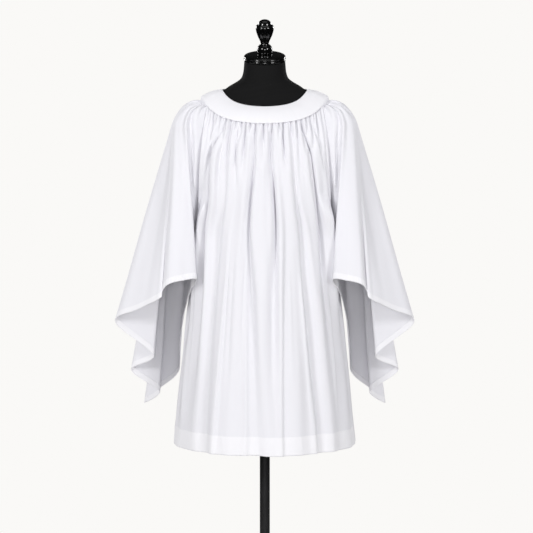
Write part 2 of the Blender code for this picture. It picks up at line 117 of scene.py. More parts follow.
SECTIONS = table(Section, (
    (1.4626, 0.1559, 0.05, 0.119, 0.114, 65),
    (1.451, 0.1592, 0.057, 0.1245, 0.119, 65),
    (1.434, 0.1625, 0.065, 0.1295, 0.123, 65),
    (1.408, 0.1668, 0.076, 0.134, 0.127, 66),
    (1.37, 0.1715, 0.084, 0.138, 0.131, 66),
    (1.32, 0.1755, 0.085, 0.141, 0.135, 68),
    (1.26, 0.178, 0.076, 0.144, 0.139, 72),
    (1.2, 0.1785, 0.055, 0.147, 0.143, 78),
    (1.155, 0.179, 0.026, 0.149, 0.146, 86),
    (1.13, 0.18, 0, 0.15, 0.148, 90),
    (1.03, 0.192, 0, 0.156, 0.154, 90),
    (0.92, 0.2075, 0, 0.164, 0.162, 90),
    (0.8, 0.2225, 0, 0.173, 0.171, 90),
    (0.67, 0.237, 0, 0.183, 0.181, 90),
    (0.58, 0.2465, 0, 0.19, 0.188, 90),
    (0.53, 0.252, 0, 0.194, 0.192, 90),
))
TOP_Z, HEM_Z = SECTIONS[0].z, SECTIONS[-1].z
UNDERARM = SECTIONS[9]
UNDERARM_Z = UNDERARM.z
SEAM_ARC = SECTIONS[0].arc


class Crease(NamedTuple):
    """Long fold of the body: places in half widths at five levels, rises and widths in millimetres."""

    seam: float
    chest: float
    waist: float
    hip: float
    hem: float
    rise_seam: float
    rise_chest: float
    rise_waist: float
    rise_hip: float
    rise_hem: float
    width_top: float
    width_hem: float


FOLD_DEPTH = 1.25         # how deep the long folds are
FOLD_LEAN = 0.38          # how far one side of a fold leans over its valley, for its depth
CREASE_LEVELS = (0.03, 0.12, 0.30, 0.55, 0.95)    # shares of the panel's length
FRONT_CREASES = table(Crease, (
    (-0.6, -0.71, -0.665, -0.625, -0.63, -6, -17, -19, -13, -1, 5.2, 26),
    (-0.68, -0.83, -0.84, -0.8, -0.77, 2, 6, 6, 5, 4, 9, 24),
    (-0.52, -0.635, -0.59, -0.555, -0.55, 2, 7, 11, 8, 2, 6, 20),
    (-0.46, -0.56, -0.55, -0.5, -0.48, 1, 2, 2, 2, 2, 9, 22),
    (-0.46, -0.47, -0.46, -0.47, -0.46, -4, -5, -5, -6, -8, 5, 26),
    (-0.37, -0.34, -0.35, -0.355, -0.375, 0, 0, 1, 3, 5, 5, 11),
    (-0.2, -0.21, -0.23, -0.24, -0.26, 2, 3, 3, 3, 2, 7, 20),
    (-0.175, -0.165, -0.18, -0.16, -0.13, 1, 2, 3, 3, 4, 4, 8),
    (-0.123, -0.112, -0.145, -0.108, -0.06, -6, -10, -17, -15, -10, 6.2, 28),
    (-0.02, -0.02, -0.02, 0.01, 0.02, 2, 4, 4, 3, 1, 9, 24),
    (0.1, 0.1, 0.134, 0.085, 0.06, -6, -8, -17, -9, 0, 6, 18),
    (0.16, 0.16, 0.185, 0.14, 0.115, 2, 3, 4, 5.5, 5.5, 5, 8),
    (0.24, 0.26, 0.28, 0.255, 0.24, 2, 3, 3, 3, 3, 9, 30),
    (0.366, 0.37, 0.388, 0.4, 0.435, -4, -5, -8, -9, -9, 6.5, 30),
    (0.31, 0.315, 0.325, 0.33, 0.375, 1, 2, 3, 4, 5, 5, 9),
    (0.48, 0.54, 0.56, 0.51, 0.52, 2, 4, 5, 4, 2, 9, 24),
    (0.55, 0.672, 0.682, 0.6, 0.6, -6, -17, -14, -6, -2, 4.2, 22),
    (0.65, 0.8, 0.83, 0.79, 0.76, 2, 6, 6, 5, 4, 9, 24),
    (-0.9, -0.92, -0.925, -0.93, -0.93, 1, 5, 8, 6, 2, 12, 18),
    (0.9, 0.92, 0.925, 0.93, 0.93, 1, 5, 8, 6, 2, 12, 18),
))
BACK_CREASES = table(Crease, (
    (-0.62, -0.7, -0.69, -0.66, -0.66, -5, -12, -11, -8, -4, 7, 26),
    (-0.55, -0.6, -0.58, -0.56, -0.57, 2, 4, 5, 4, 3, 9, 22),
    (-0.42, -0.45, -0.45, -0.47, -0.48, -4, -8, -8, -9, -9, 5, 28),
    (-0.25, -0.27, -0.27, -0.26, -0.26, 2, 3, 4, 5, 5, 8, 16),
    (-0.05, -0.03, -0.04, -0.06, -0.08, -6, -12, -12, -11, -9, 5, 27),
    (0.04, 0.06, 0.07, 0.06, 0.06, 2, 4, 4, 4, 3, 9, 24),
    (0.14, 0.17, 0.17, 0.18, 0.19, -5, -9, -11, -8, -5, 4.5, 24),
    (0.3, 0.33, 0.33, 0.34, 0.34, 2, 3, 4, 5, 6, 8, 14),
    (0.47, 0.5, 0.49, 0.49, 0.5, -4, -8, -9, -9, -9, 6, 28),
    (0.56, 0.61, 0.61, 0.59, 0.6, 2, 4, 4, 4, 3, 9, 22),
    (0.64, 0.72, 0.72, 0.69, 0.68, -5, -13, -11, -7, -3, 6, 24),
    (-0.9, -0.92, -0.925, -0.93, -0.93, 1, 4, 6, 5, 2, 12, 18),
    (0.9, 0.92, 0.925, 0.93, 0.93, 1, 4, 6, 5, 2, 12, 18),
))


class Pleat(NamedTuple):
    """Shorter fold of the body: places in half widths and shares of length at its ends, millimetres."""

    top: float
    low: float
    start: float
    end: float
    rise: float
    width: float


FRONT_PLEATS = table(Pleat, (
    (-0.38, -0.33, 0, 0.26, -6, 3.6), (-0.262, -0.27, 0, 0.21, -5, 3.2), (-0.006, -0.014, 0, 0.16, -5, 3),
    (0.246, 0.272, 0, 0.19, -3.6, 3.2), (-0.7, -0.84, 0, 0.24, -5, 3.6), (0.72, 0.85, 0, 0.22, -5, 3.6),
    (-0.325, -0.4, 0.02, 0.2, -3.5, 3.2), (0.455, 0.5, 0, 0.24, -4.5, 3.4),
    (-0.352, -0.37, 0.42, 0.96, 1.5, 3), (-0.335, -0.35, 0.44, 0.84, -1.3, 3),
    (-0.31, -0.32, 0.4, 0.88, 1.2, 2.6), (-0.277, -0.285, 0.4, 0.92, -1.5, 3),
    (-0.2, -0.2, 0.4, 0.94, 1.5, 3), (-0.184, -0.19, 0.4, 0.9, -1.5, 3),
    (-0.151, -0.13, 0.36, 0.98, 1.8, 3), (0.317, 0.36, 0.45, 0.98, 1.6, 3.2),
    (0.34, 0.385, 0.45, 0.92, -1.3, 3), (0.22, 0.2, 0.45, 0.88, 1, 3), (0.45, 0.48, 0.28, 0.62, 1.5, 3.4),
    (0.64, 0.61, 0.5, 0.97, 2, 3.6), (-0.74, -0.7, 0.45, 0.92, 1.6, 3.6), (0.06, 0.05, 0.5, 0.9, -1.2, 4),
))


class Gather(NamedTuple):
    """Small gather under the yoke: its place in degrees, its depth and length in millimetres."""

    turn: float
    depth: float
    length: float


GATHER_DEPTH, GATHER_LENGTH = 3.5, 1.45     # how full the gathers are
GATHER_WIDTH, GATHER_SPREAD = 0.0032, 0.0050    # their width at the yoke, and how much wider they end
YOKE_FADE = 0.004         # distance over which the gathers start below the yoke
FRONT_GATHERS = table(Gather, (
    (-61, 4, 60), (-57, 3, 34), (-52.8, 5, 85), (-48.6, 3.5, 42), (-43.9, 4.5, 60), (-40.5, 2.5, 28),
    (-37.1, 5, 70), (-32.3, 4.5, 95), (-29.9, 3, 32), (-27, 4.5, 52), (-24.2, 2.5, 60), (-21.3, 5, 48),
    (-17.1, 3.5, 100), (-13, 5, 46), (-10.4, 2.2, 28), (-8.1, 4.5, 70), (-4.4, 3, 30), (-1.1, 5.5, 62),
    (2.9, 3.5, 36), (6.7, 4.5, 80), (9.6, 3, 34), (12.8, 4.5, 50), (16.8, 5, 92), (19.5, 3, 34),
    (22, 2.5, 44), (24.5, 4.5, 58), (29.6, 5, 46), (32.4, 2.5, 30), (35, 4.5, 88), (40, 4.5, 44),
    (42.8, 2.5, 30), (45.3, 4.5, 64), (49.6, 3, 38), (53.4, 5, 80), (56.6, 3, 32), (60.3, 4.5, 62),
))
HEAD_GATHERS = table(Gather, (
    (65.8, 3, 46), (67.6, 4.5, 70), (69.6, 3.5, 38), (71.6, 5, 62), (73.8, 3, 34), (76, 5, 78),
    (78.4, 3.5, 40), (80.8, 4.5, 56), (83.2, 3, 34), (85.8, 5, 70), (88.2, 3, 38), (90.6, 4.5, 58),
    (93.2, 3.5, 36), (95.6, 5, 72), (98.2, 3, 36), (100.8, 4.5, 56), (103.4, 3.5, 40), (106, 5, 70),
    (108.6, 3.5, 38), (111.2, 4.5, 60), (113.4, 3, 40),
))


class Line(NamedTuple):
    """Line of the sleeve from the yoke to the opening, for the side at +X. turn is in degrees."""

    turn: float
    cap_x: float
    cap_y: float
    hem_x: float
    hem_y: float
    hem_z: float


SLEEVE_LINES = table(Line, (
    (65, 0.168, -0.078, 0.226, 0, 0.88),    # underarm seam, front edge
    (66, 0.188, -0.086, 0.204, -0.06, 0.952),    # inner side, facing the body
    (68, 0.208, -0.085, 0.184, -0.104, 0.994),    # front crest
    (71, 0.222, -0.081, 0.218, -0.124, 0.994),    # over the wrist
    (74, 0.236, -0.07, 0.258, -0.126, 0.984),    # over the wrist
    (78, 0.245, -0.056, 0.276, -0.111, 0.962),    # step in the front edge, inner fold
    (81, 0.25, -0.045, 0.283, -0.116, 0.944),    # step in the front edge, outer fold
    (85, 0.253, -0.025, 0.344, -0.082, 0.911),    # front panel
    (90, 0.255, -0.003, 0.41, -0.034, 0.869),    # outer tip
    (95, 0.254, 0.018, 0.31, 0.002, 0.773),    # first valley
    (99, 0.251, 0.036, 0.373, 0.04, 0.725),    # second crest
    (103, 0.247, 0.052, 0.3, 0.068, 0.66),    # second valley
    (107, 0.239, 0.066, 0.343, 0.1, 0.622),    # lowest tip
    (110, 0.226, 0.079, 0.298, 0.126, 0.662),    # back
    (112, 0.208, 0.087, 0.249, 0.116, 0.706),    # back corner
    (114, 0.188, 0.088, 0.238, 0.062, 0.792),    # inner side, behind the arm
    (115, 0.168, 0.08, 0.226, 0, 0.88),    # underarm seam, back edge
))
LAST_LINE = len(SLEEVE_LINES) - 1
CAP_Z = 1.400             # shoulder level, where the sleeve starts to hang straight
CAP_SHARE = 0.22          # share of the sleeve's length above that level
CAP_PUFF, CAP_RISE = 0.120, 0.012
PINNED_LINES = 2.0        # lines over which the sleeve eases away from its seam edge


class SleeveCrease(NamedTuple):
    """Long fold of a sleeve: places in lines, rises and widths in millimetres at three levels."""

    head: float
    elbow: float
    hem: float
    rise_head: float
    rise_elbow: float
    rise_hem: float
    width_head: float
    width_hem: float


SLEEVE_LEVELS = (0.16, 0.50, 1.00)    # shares of the sleeve's length
SLEEVE_CREASES = table(SleeveCrease, (
    (2.2, 2.15, 2, 5, 4, 0, 5, 9),
    (1.6, 1.45, 1.3, -9, -10, -4, 8, 9),
    (6.6, 6.65, 6.75, -3, -4, -2, 11, 20),
    (5.6, 5.95, 6.05, 0, 1.4, 1.5, 6, 8),
    (7.6, 7.6, 7.6, 2, 3, 2, 12, 24),
    (4.4, 4.2, 4.2, 2, 2, 1, 12, 26),
    (3, 2.7, 2.6, -3, -1, 0, 7, 14),
    (9, 9, 9, -4, -5, -2, 12, 18),
    (10.2, 10.1, 10, 2, 3, 1, 12, 18),
    (11.2, 11.1, 11, -4, -4, -2, 12, 18),
    (13.2, 13.2, 13.3, -5, -7, -3, 12, 22),
    (14.2, 14.1, 14.1, 2, 3, 2, 10, 16),
))


class TorsoSection(NamedTuple):
    """Section of the torso. slope leans it forwards and a roundness of 2 is an ellipse."""

    z: float
    half_width: float
    front: float
    back: float
    slope: float
    roundness: float


TORSO = table(TorsoSection, (
    (1.584, 0.0558, 0.0558, 0.0558, 0.287, 2),
    (1.57, 0.0568, 0.0558, 0.057, 0.25, 2),
    (1.552, 0.0588, 0.0562, 0.059, 0.18, 2),
    (1.537, 0.064, 0.057, 0.061, 0.1, 1.9),
    (1.527, 0.0755, 0.058, 0.063, 0.05, 1.7),
    (1.515, 0.096, 0.0595, 0.067, 0.02, 1.5),
    (1.501, 0.116, 0.06, 0.073, 0, 1.5),
    (1.49, 0.14, 0.0615, 0.078, 0, 1.45),
    (1.477, 0.166, 0.064, 0.084, 0, 1.6),
    (1.462, 0.181, 0.071, 0.09, 0, 1.8),
    (1.44, 0.19, 0.084, 0.099, 0, 1.9),
    (1.41, 0.1905, 0.1, 0.106, 0, 2),
    (1.35, 0.186, 0.118, 0.112, 0, 2),
    (1.28, 0.174, 0.124, 0.11, 0, 2.1),
    (1.18, 0.158, 0.116, 0.102, 0, 2.2),
    (1.06, 0.146, 0.102, 0.095, 0, 2.2),
    (0.94, 0.154, 0.109, 0.108, 0, 2.2),
    (0.85, 0.162, 0.115, 0.118, 0, 2.2),
    (0.81, 0.162, 0.115, 0.118, 0, 2.2),
))


class Ring(NamedTuple):
    """Ring of a turned piece."""

    radius: float
    height: float


NECK_CAP = table(Ring, (
    (0.02, 0.0185), (0.03, 0.0182), (0.04, 0.0173), (0.048, 0.0161), (0.053, 0.0146), (0.0558, 0.0128),
    (0.0568, 0.011), (0.0566, 0.0096), (0.0556, 0.0086), (0.0555, 0.0079), (0.0563, 0.007),
    (0.0573, 0.0057), (0.0576, 0.004), (0.0573, 0.0022), (0.0563, 0.0006), (0.055, 0),
))
FINIAL = table(Ring, (
    (0.0035, 0.0935), (0.009, 0.0922), (0.0135, 0.0896), (0.0164, 0.0861), (0.0178, 0.0824),
    (0.0184, 0.0803), (0.0197, 0.079), (0.0222, 0.0777), (0.0241, 0.0756), (0.0249, 0.0725),
    (0.0247, 0.068), (0.0237, 0.062), (0.0217, 0.0545), (0.0186, 0.0465), (0.0152, 0.0395),
    (0.0126, 0.034), (0.0115, 0.03), (0.0118, 0.0272), (0.0134, 0.025), (0.0164, 0.022), (0.0192, 0.0188),
    (0.0205, 0.0155), (0.0208, 0.012), (0.0207, 0.004), (0.02, 0.0008), (0.0192, 0),
))
BASE_PLATE = table(Ring, (
    (0.0225, 0.03), (0.0238, 0.0296), (0.0242, 0.0285), (0.0246, 0.018), (0.0262, 0.0152),
    (0.031, 0.0136), (0.042, 0.0128), (0.154, 0.0102), (0.161, 0.0094), (0.1645, 0.0072), (0.165, 0.0055),
    (0.165, 0.0012), (0.1638, 0),
))
NECK_LEAN = radians(16)
CONTACT_GAP = 0.0003


# ---------------------------------------------------------------- numbers

def ease(value: Array) -> Array:
    """Eased step from 0 to 1."""
    value = np.clip(value, 0.0, 1.0)
    return value * value * (3.0 - 2.0 * value)


def bell(distance: Array, width: Array) -> Array:
    """Round hill of height 1."""
    return np.exp(-(distance / width) ** 2)


def leaning(distance: Array, width: Array) -> Array:
    """Hill of height 1 with a long slope towards -X and a short one towards +X."""
    return bell(distance, width * np.where(distance < 0.0, 1.45, 0.70))


def cusp(distance: Array, width: Array) -> Array:
    """Narrow valley floor between two round sides, of height 1."""
    return np.exp(-np.abs(distance / width) ** 1.35)


def through(rows: Sequence[Sequence[float]], place: Array) -> Array:
    """Smooth curve through the rows of a table.

    Args:
        rows: The table, each row with the same columns.
        place: Real-numbered places in the table.

    Returns:
        The table's columns at each place, on a last axis of their own.
    """
    table = np.array([tuple(row) for row in rows], dtype=float)
    last = len(table) - 1
    index = np.clip(np.floor(place).astype(int), 0, last - 1)
    share = (place - index)[..., None]
    before, start = table[np.maximum(index - 1, 0)], table[index]
    end, after = table[index + 1], table[np.minimum(index + 2, last)]
    slope_in, slope_out = (end - before) / 2.0, (after - start) / 2.0
    cubic = 2.0 * (start - end) + slope_in + slope_out
    square = 3.0 * (end - start) - 2.0 * slope_in - slope_out
    return ((cubic * share + square) * share + slope_in) * share + start


def between(rows: Sequence[NamedTuple], place: Array) -> NamedTuple:
    """Smooth curve through the rows of a table, as one row whose columns are arrays."""
    return type(rows[0])(*np.moveaxis(through(rows, place), -1, 0))

def graded(total: float, first: float, growth: float, last: float) -> Array:
    """Distances whose steps grow evenly.

    Args:
        total: The last distance.
        first: The first step.
        growth: Each step for the one before.
        last: The longest step.

    Returns:
        Distances from 0 to total.
    """
    steps = [first]
    while sum(steps) < total:
        steps.append(min(steps[-1] * growth, last))
    marks = np.concatenate([[0.0], np.cumsum(steps)])
    return marks * total / marks[-1]


def unit(vectors: Array) -> Array:
    """Vectors made of length 1."""
    return vectors / np.maximum(np.linalg.norm(vectors, axis=-1, keepdims=True), 1e-9)


def pulled_in(points: Array, edge: Array) -> Array:
    """Points drawn towards the body's axis beside a seam, so that both its edges meet in one groove.

    Args:
        points: Places on the cloth.
        edge: Distance of each from the seam.

    Returns:
        The new places.
    """
    inward = -unit(points * np.array((1.0, 1.0, 0.0)))
    return points + inward * (SEAM_GROOVE * bell(edge, GROOVE_WIDTH))[..., None]


def soft_waves(across: Array, down: Array, seed: int, count: int = 7) -> Array:
    """Slow uneven waves, mostly upright, from about -1 to 1.

    Args:
        across: Distance across the cloth.
        down: Distance down the cloth.
        seed: Choice of waves.
        count: How many waves are added.

    Returns:
        Height of the waves.
    """
    draw = np.random.default_rng(seed)
    total = 0.0
    for _ in range(count):
        pitch_across = draw.uniform(0.050, 0.120)
        pitch_down = draw.uniform(0.35, 0.90) * draw.choice((-1.0, 1.0))
        turns = across / pitch_across + down / pitch_down
        total = total + np.sin(2.0 * pi * turns + draw.uniform(0.0, 2.0 * pi))
    return total / count ** 0.5 / 1.4


def gather_valley(gather: Gather, distance: Array, drop: Array) -> Array:
    """Depth of a small gather, narrow at the yoke and wider as it fades.

    Args:
        gather: Its row of the table.
        distance: Distance from its middle.
        drop: Distance below the yoke.

    Returns:
        How far the cloth is drawn in.
    """
    length = GATHER_LENGTH * gather.length * MM
    fade = np.clip(1.0 - drop / length, 0.0, 1.0) ** 1.4
    width = GATHER_WIDTH + GATHER_SPREAD * drop / length
    return GATHER_DEPTH * gather.depth * MM * fade * cusp(distance, width)


def gathered_roll(rise: float, reach: float, drop: Array) -> Array:
    """Height of the roll of cloth that stands out below the yoke."""
    return rise * (1.0 - np.exp(-drop / YOKE_FADE)) * np.exp(-drop / reach)


# ---------------------------------------------------------------- cloth grids

@dataclass
class ClothGrid:
    """Rows and columns of points on the middle of a layer of cloth.

    Fields:
        points: Places, rows by columns by 3.
        coords: Metres across and down the cloth, rows by columns by 2.
        doubled: How far the cloth is doubled at each point, from 0 to 1.
        outward: Sign that turns across x down into the outer side.
        joined_from: Row from which the first and last columns are sewn together.
    """

    points: Array
    coords: Array
    doubled: Array
    outward: int
    joined_from: Optional[int] = None

    def normals(self) -> Array:
        """Outward normals at the points."""
        down, across = np.gradient(self.points, axis=(0, 1))
        return self.outward * unit(np.cross(across, down))

    def raise_by(self, height: Array) -> None:
        """Move the points outwards along their normals."""
        self.points = self.points + self.normals() * height[..., None]

    def piece(self, name: str, wall: float, material: bpy.types.Material) -> bpy.types.Object:
        """Make the cloth as a smooth skin with a thin wall.

        Args:
            name: The piece's name.
            wall: Thickness of the cloth.
            material: Its finish.

        Returns:
            The new object.
        """
        rows, columns = self.points.shape[:2]
        index = np.arange(rows * columns).reshape(rows, columns)
        corners = (index[:-1, :-1], index[:-1, 1:], index[1:, 1:], index[1:, :-1])
        quads = np.stack(corners, axis=-1).reshape(-1, 4)
        if self.outward < 0:
            quads = quads[:, ::-1]
        joined = index.copy()
        if self.joined_from is not None:
            joined[self.joined_from:, -1] = joined[self.joined_from:, 0]
        used, numbers = np.unique(joined.ravel()[quads], return_inverse=True)
        mesh = bpy.data.meshes.new(name)
        mesh.from_pydata(self.points.reshape(-1, 3)[used].tolist(), [], numbers.reshape(-1, 4).tolist())
        across = mesh.uv_layers.new(name="cloth")
        across.data.foreach_set("uv", self.coords.reshape(-1, 2)[quads.ravel()].astype(np.float32).ravel())
        doubled = mesh.attributes.new("doubled", "FLOAT", "POINT")
        doubled.data.foreach_set("value", self.doubled.ravel()[used].astype(np.float32))
        mesh.materials.append(material)
        mesh.shade_smooth()
        cloth = linked(name, mesh)
        skin = cloth.modifiers.new("Wall", "SOLIDIFY")
        skin.thickness = wall
        skin.offset = 0.0
        return cloth

    def turned_up(self, rows: int, step: float) -> "ClothGrid":
        """Hem turned up inside the last rows, with the round fold that joins it to their edge.

        Args:
            rows: How many of the last rows the hem covers.
            step: From the middle of the outer layer to the middle of the hem.

        Returns:
            The hem's grid.
        """
        outer, normals = self.points[-rows:], self.normals()[-rows:]
        edge, edge_normal = outer[-1], normals[-1]
        down = unit(outer[-1] - outer[-2])
        fold = []
        for turn in (0.0, pi / 4.0, pi / 2.0, pi * 3.0 / 4.0, pi):
            inset = step * (1.0 + np.cos(turn)) / 2.0
            drop = CONTACT_GAP + step / 2.0 * np.sin(turn)
            fold.append(edge - edge_normal * inset + down * drop)
        points = np.concatenate([outer[:-1] - normals[:-1] * step, np.stack(fold)])
        tail = np.repeat(self.coords[-1:], len(fold), axis=0)
        coords = np.concatenate([self.coords[-rows:-1], tail])
        joined_from = None if self.joined_from is None else 0
        return ClothGrid(points, coords, np.ones(points.shape[:2]), self.outward, joined_from)


def stitch_run(points: Array, normals: Array, proud: float) -> tuple[Array, Array]:
    """Row of machine stitches along a path.

    Args:
        points: The path, on the middle of the cloth.
        normals: Outward normals along it.
        proud: From the middle of the cloth to its outer face.

    Returns:
        Vertices and quads of all the stitches.
    """
    pitch, length, half_width, height = 0.0030, 0.0023, 0.00024, 0.00024
    stations = ((0.0, 0.35, -0.4), (0.18, 1.0, 0.7), (0.5, 1.0, 1.0), (0.82, 1.0, 0.7), (1.0, 0.35, -0.4))

    def on_path(columns: Array, marks: Array) -> Array:
        """Values of the path's columns at distances along it."""
        return np.stack([np.interp(marks, lengths, columns[:, k]) for k in range(3)], axis=-1)
    lengths = np.concatenate([[0.0], np.cumsum(np.linalg.norm(np.diff(points, axis=0), axis=-1))])
    starts = np.arange(0.0, lengths[-1] - pitch, pitch)
    rings = []
    for share, wide, high in stations:
        marks = starts + length * share
        middle = on_path(points, marks)
        ahead = on_path(points, marks + 0.0004)
        up = unit(on_path(normals, marks))
        beside = unit(np.cross(up, ahead - middle)) * half_width * wide
        top = middle + up * (proud + height * high)
        low = middle + up * (proud - height * 0.6)
        rings.append(np.stack([low + beside, (top + low) / 2 + beside * 1.15, top, low - beside], axis=1))
    vertices = np.stack(rings, axis=1)
    count, per_ring = len(starts), 4
    index = np.arange(vertices[..., 0].size).reshape(count, len(stations), per_ring)
    ring_next = np.roll(index, -1, axis=2)
    sides = np.stack([index[:, :-1], ring_next[:, :-1], ring_next[:, 1:], index[:, 1:]], axis=-1)
    ends = np.concatenate([index[:, 0, ::-1], index[:, -1]])
    return vertices.reshape(-1, 3), np.concatenate([sides.reshape(-1, 4), ends])


def stitches(name: str, runs: Sequence[tuple[Array, Array, float]],
             material: bpy.types.Material) -> bpy.types.Object:
    """Join rows of stitches in one piece.

    Args:
        name: The piece's name.
        runs: Path, normals and height of each row.
        material: Finish of the thread.

    Returns:
        The new object.
    """
    vertices, quads, total = [], [], 0
    for points, normals, proud in runs:
        some, faces = stitch_run(points, normals, proud)
        vertices.append(some)
        quads.append(faces + total)
        total += len(some)
    mesh = bpy.data.meshes.new(name)
    mesh.from_pydata(np.concatenate(vertices).tolist(), [], np.concatenate(quads).tolist())
    mesh.materials.append(material)
    mesh.shade_smooth()
    thread = linked(name, mesh)
    recalculate_normals(thread)
    return thread


def linked(name: str, data: bpy.types.ID) -> bpy.types.Object:
    """New object of the scene, with its data."""
    piece = bpy.data.objects.new(name, data)
    bpy.context.scene.collection.objects.link(piece)
    return piece


def place_piece(piece: bpy.types.Object, slot: Slot, *nodes: str) -> None:
    """Ride a piece on the body, in place of its CAD nodes, and report it.

    Args:
        piece: The finished piece.
        slot: Not used.
        nodes: The CAD nodes that it stands for.
    """
    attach(piece, BODY)
    if nodes:
        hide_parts(*nodes)
    LOG.info("%s: %d faces", piece.name, len(piece.data.polygons))


def hemmed(grid: ClothGrid, name: str, hem_name: str, marks: Sequence[float], stitched: float,
           cloth: bpy.types.Material) -> tuple[bpy.types.Object, bpy.types.Object, bpy.types.Object]:
    """Make a piece of cloth, its turned-up hem and the stitching that holds the hem.

    Args:
        grid: The piece's grid.
        name: The node that the piece stands for.
        hem_name: The node that the hem stands for.
        marks: Rows of the hem, in millimetres above the edge.
        stitched: Which of them is stitched.
        cloth: The finish.

    Returns:
        The piece, the hem and the stitching.
    """
    piece = grid.piece(name + "_cloth", CLOTH_WALL, cloth)
    place_piece(piece, Slot.CLOTH, name)
    hem = grid.turned_up(len(marks) - 2, TURN_UP_STEP).piece(hem_name + "_cloth", CLOTH_WALL, cloth)
    place_piece(hem, Slot.CLOTH, hem_name)
    row = len(grid.points) - len(marks) + marks.index(stitched)
    run = (grid.points[row], grid.normals()[row], CLOTH_WALL / 2.0)
    thread = stitches(hem_name + "_stitches", [run], cloth)
    place_piece(thread, Slot.CLOTH)
    return piece, hem, thread


# ---------------------------------------------------------------- yoke

@dataclass(frozen=True)
class Oval:
    """Edge of the yoke seen from above, higher on the shoulders."""

    half_width: float
    front: float
    back: float
    front_z: float
    side_z: float
    back_z: float

    def points(self, turn: Array) -> Array:
        """Points at turns in radians from the middle of the front, towards +X."""
        across = np.abs(np.sin(turn))
        is_front = np.cos(turn) >= 0.0
        depth = np.where(is_front, self.front, self.back)
        middle_z = np.where(is_front, self.front_z, self.back_z)
        rise = 0.45 * across ** 2 + 0.55 * across ** 6
        z = middle_z + (self.side_z - middle_z) * rise
        return np.stack([self.half_width * np.sin(turn), -depth * np.cos(turn), z], axis=-1)


NECKLINE = Oval(half_width=0.117, front=0.080, back=0.072, front_z=1.458, side_z=1.506, back_z=1.513)
GATHER_SEAM = Oval(half_width=0.172, front=0.119, back=0.114, front_z=1.414, side_z=1.486, back_z=1.455)


@dataclass
class Yoke:
    """Smooth double band round the neck, in a front and a back half."""

    columns: int = 240
    crown: float = 0.003
    edge_marks: tuple[float, ...] = (0.0, 0.4, 0.9, 1.5, 1.9, 2.3, 2.8, 4.0, 6.0)    # millimetres
    stitched: float = 2.3
    middle_rows: int = 12
    roll: float = 0.0010
    roll_width: float = 0.0012
    groove: float = 0.00035
    groove_width: float = 0.0008
    pucker: float = 0.00045
    pucker_reach: float = 0.006
    crease_radius: float = 0.145
    crease_width: float = 0.0022
    creases: tuple[tuple[float, float, float], ...] = (    # place and lean in degrees, rise in millimetres
        (80.0, 4.0, -0.7), (75.5, -3.0, 0.6), (85.0, 2.0, 0.5), (97.0, 3.0, -0.7))

    def shares(self, width: float) -> Array:
        """Rows from the neckline to the gathering seam, close together at both edges."""
        edge = np.array(self.edge_marks) * MM / width
        middle = np.linspace(edge[-1], 1.0 - edge[-1], self.middle_rows + 2)[1:-1]
        return np.concatenate([edge, middle, 1.0 - edge[::-1]])

    def grid(self, face: Face) -> ClothGrid:
        """Grid of one half, from one shoulder seam to the other."""
        middle = 0.0 if face is Face.FRONT else pi
        quarter = pi / 2.0 - SEAM_INSET / GATHER_SEAM.front
        turn = middle + quarter * np.linspace(-1.0, 1.0, self.columns + 1)[None, :]
        inner, outer = NECKLINE.points(turn), GATHER_SEAM.points(turn)
        across = outer - inner
        outer = outer + unit(across) * YOKE_OVERLAP
        width = np.linalg.norm(outer - inner, axis=-1)
        along = GATHER_SEAM.points(turn + 0.01) - GATHER_SEAM.points(turn - 0.01)
        upwards = unit(np.cross(across, along))
        share = self.shares(float(width.mean()))[:, None]
        height = self.crown * np.sin(pi * share) + self.relief(turn, share, width)
        height = height + YOKE_LIFT * ease(share * 2.0)
        points = inner + (outer - inner) * share[..., None] + upwards * height[..., None]
        reach = np.linalg.norm(GATHER_SEAM.points(turn), axis=-1) * (turn - middle)
        coords = np.stack(np.broadcast_arrays(reach + 0.0 * share, width * share), axis=-1)
        return ClothGrid(points, coords, np.ones(points.shape[:2]), -1)

    def relief(self, turn: Array, share: Array, width: Array) -> Array:
        """Rolled edges, stitched grooves, puckers along the gathers and faint creases on the shoulders.

        Args:
            turn: Turns in radians from the middle of the front.
            share: Places from the neckline to the gathers, from 0 to 1.
            width: Width of the band.

        Returns:
            Height of the relief.
        """
        inner, outer = share * width, (1.0 - share) * width
        height = -self.roll * (bell(inner, self.roll_width) + bell(outer, self.roll_width))
        grooves = [bell(edge - STITCH_INSET, self.groove_width) for edge in (inner, outer)]
        height = height - self.groove * (grooves[0] + grooves[1])
        wave = np.sin(turn * 88.0 + 2.0 * np.sin(turn * 9.0)) * (0.6 + 0.4 * np.sin(turn * 23.0))
        height = height + self.pucker * wave * np.exp(-outer / self.pucker_reach)
        for side in Side:
            for place, lean, rise in self.creases:
                middle = np.radians(place + lean * share)
                away = np.mod(turn * side.value - middle + pi, 2.0 * pi) - pi
                fade = np.sin(pi * np.clip(share, 0.05, 1.0))
                height = height + rise * MM * bell(away * self.crease_radius, self.crease_width) * fade
        return height

    def build(self, cloth: bpy.types.Material) -> None:
        """Make both halves and their stitching."""
        for face in Face:
            name = "yoke_" + face.name.lower()
            grid = self.grid(face)
            piece = grid.piece(name + "_cloth", YOKE_WALL, cloth)
            place_piece(piece, Slot.CLOTH, name)
            normals = grid.normals()
            row = self.edge_marks.index(self.stitched)
            runs = [(grid.points[k], normals[k], YOKE_WALL / 2.0) for k in (row, len(grid.points) - 1 - row)]
            thread = stitches(name + "_stitches", runs, cloth)
            place_piece(thread, Slot.CLOTH)


# ---------------------------------------------------------------- body

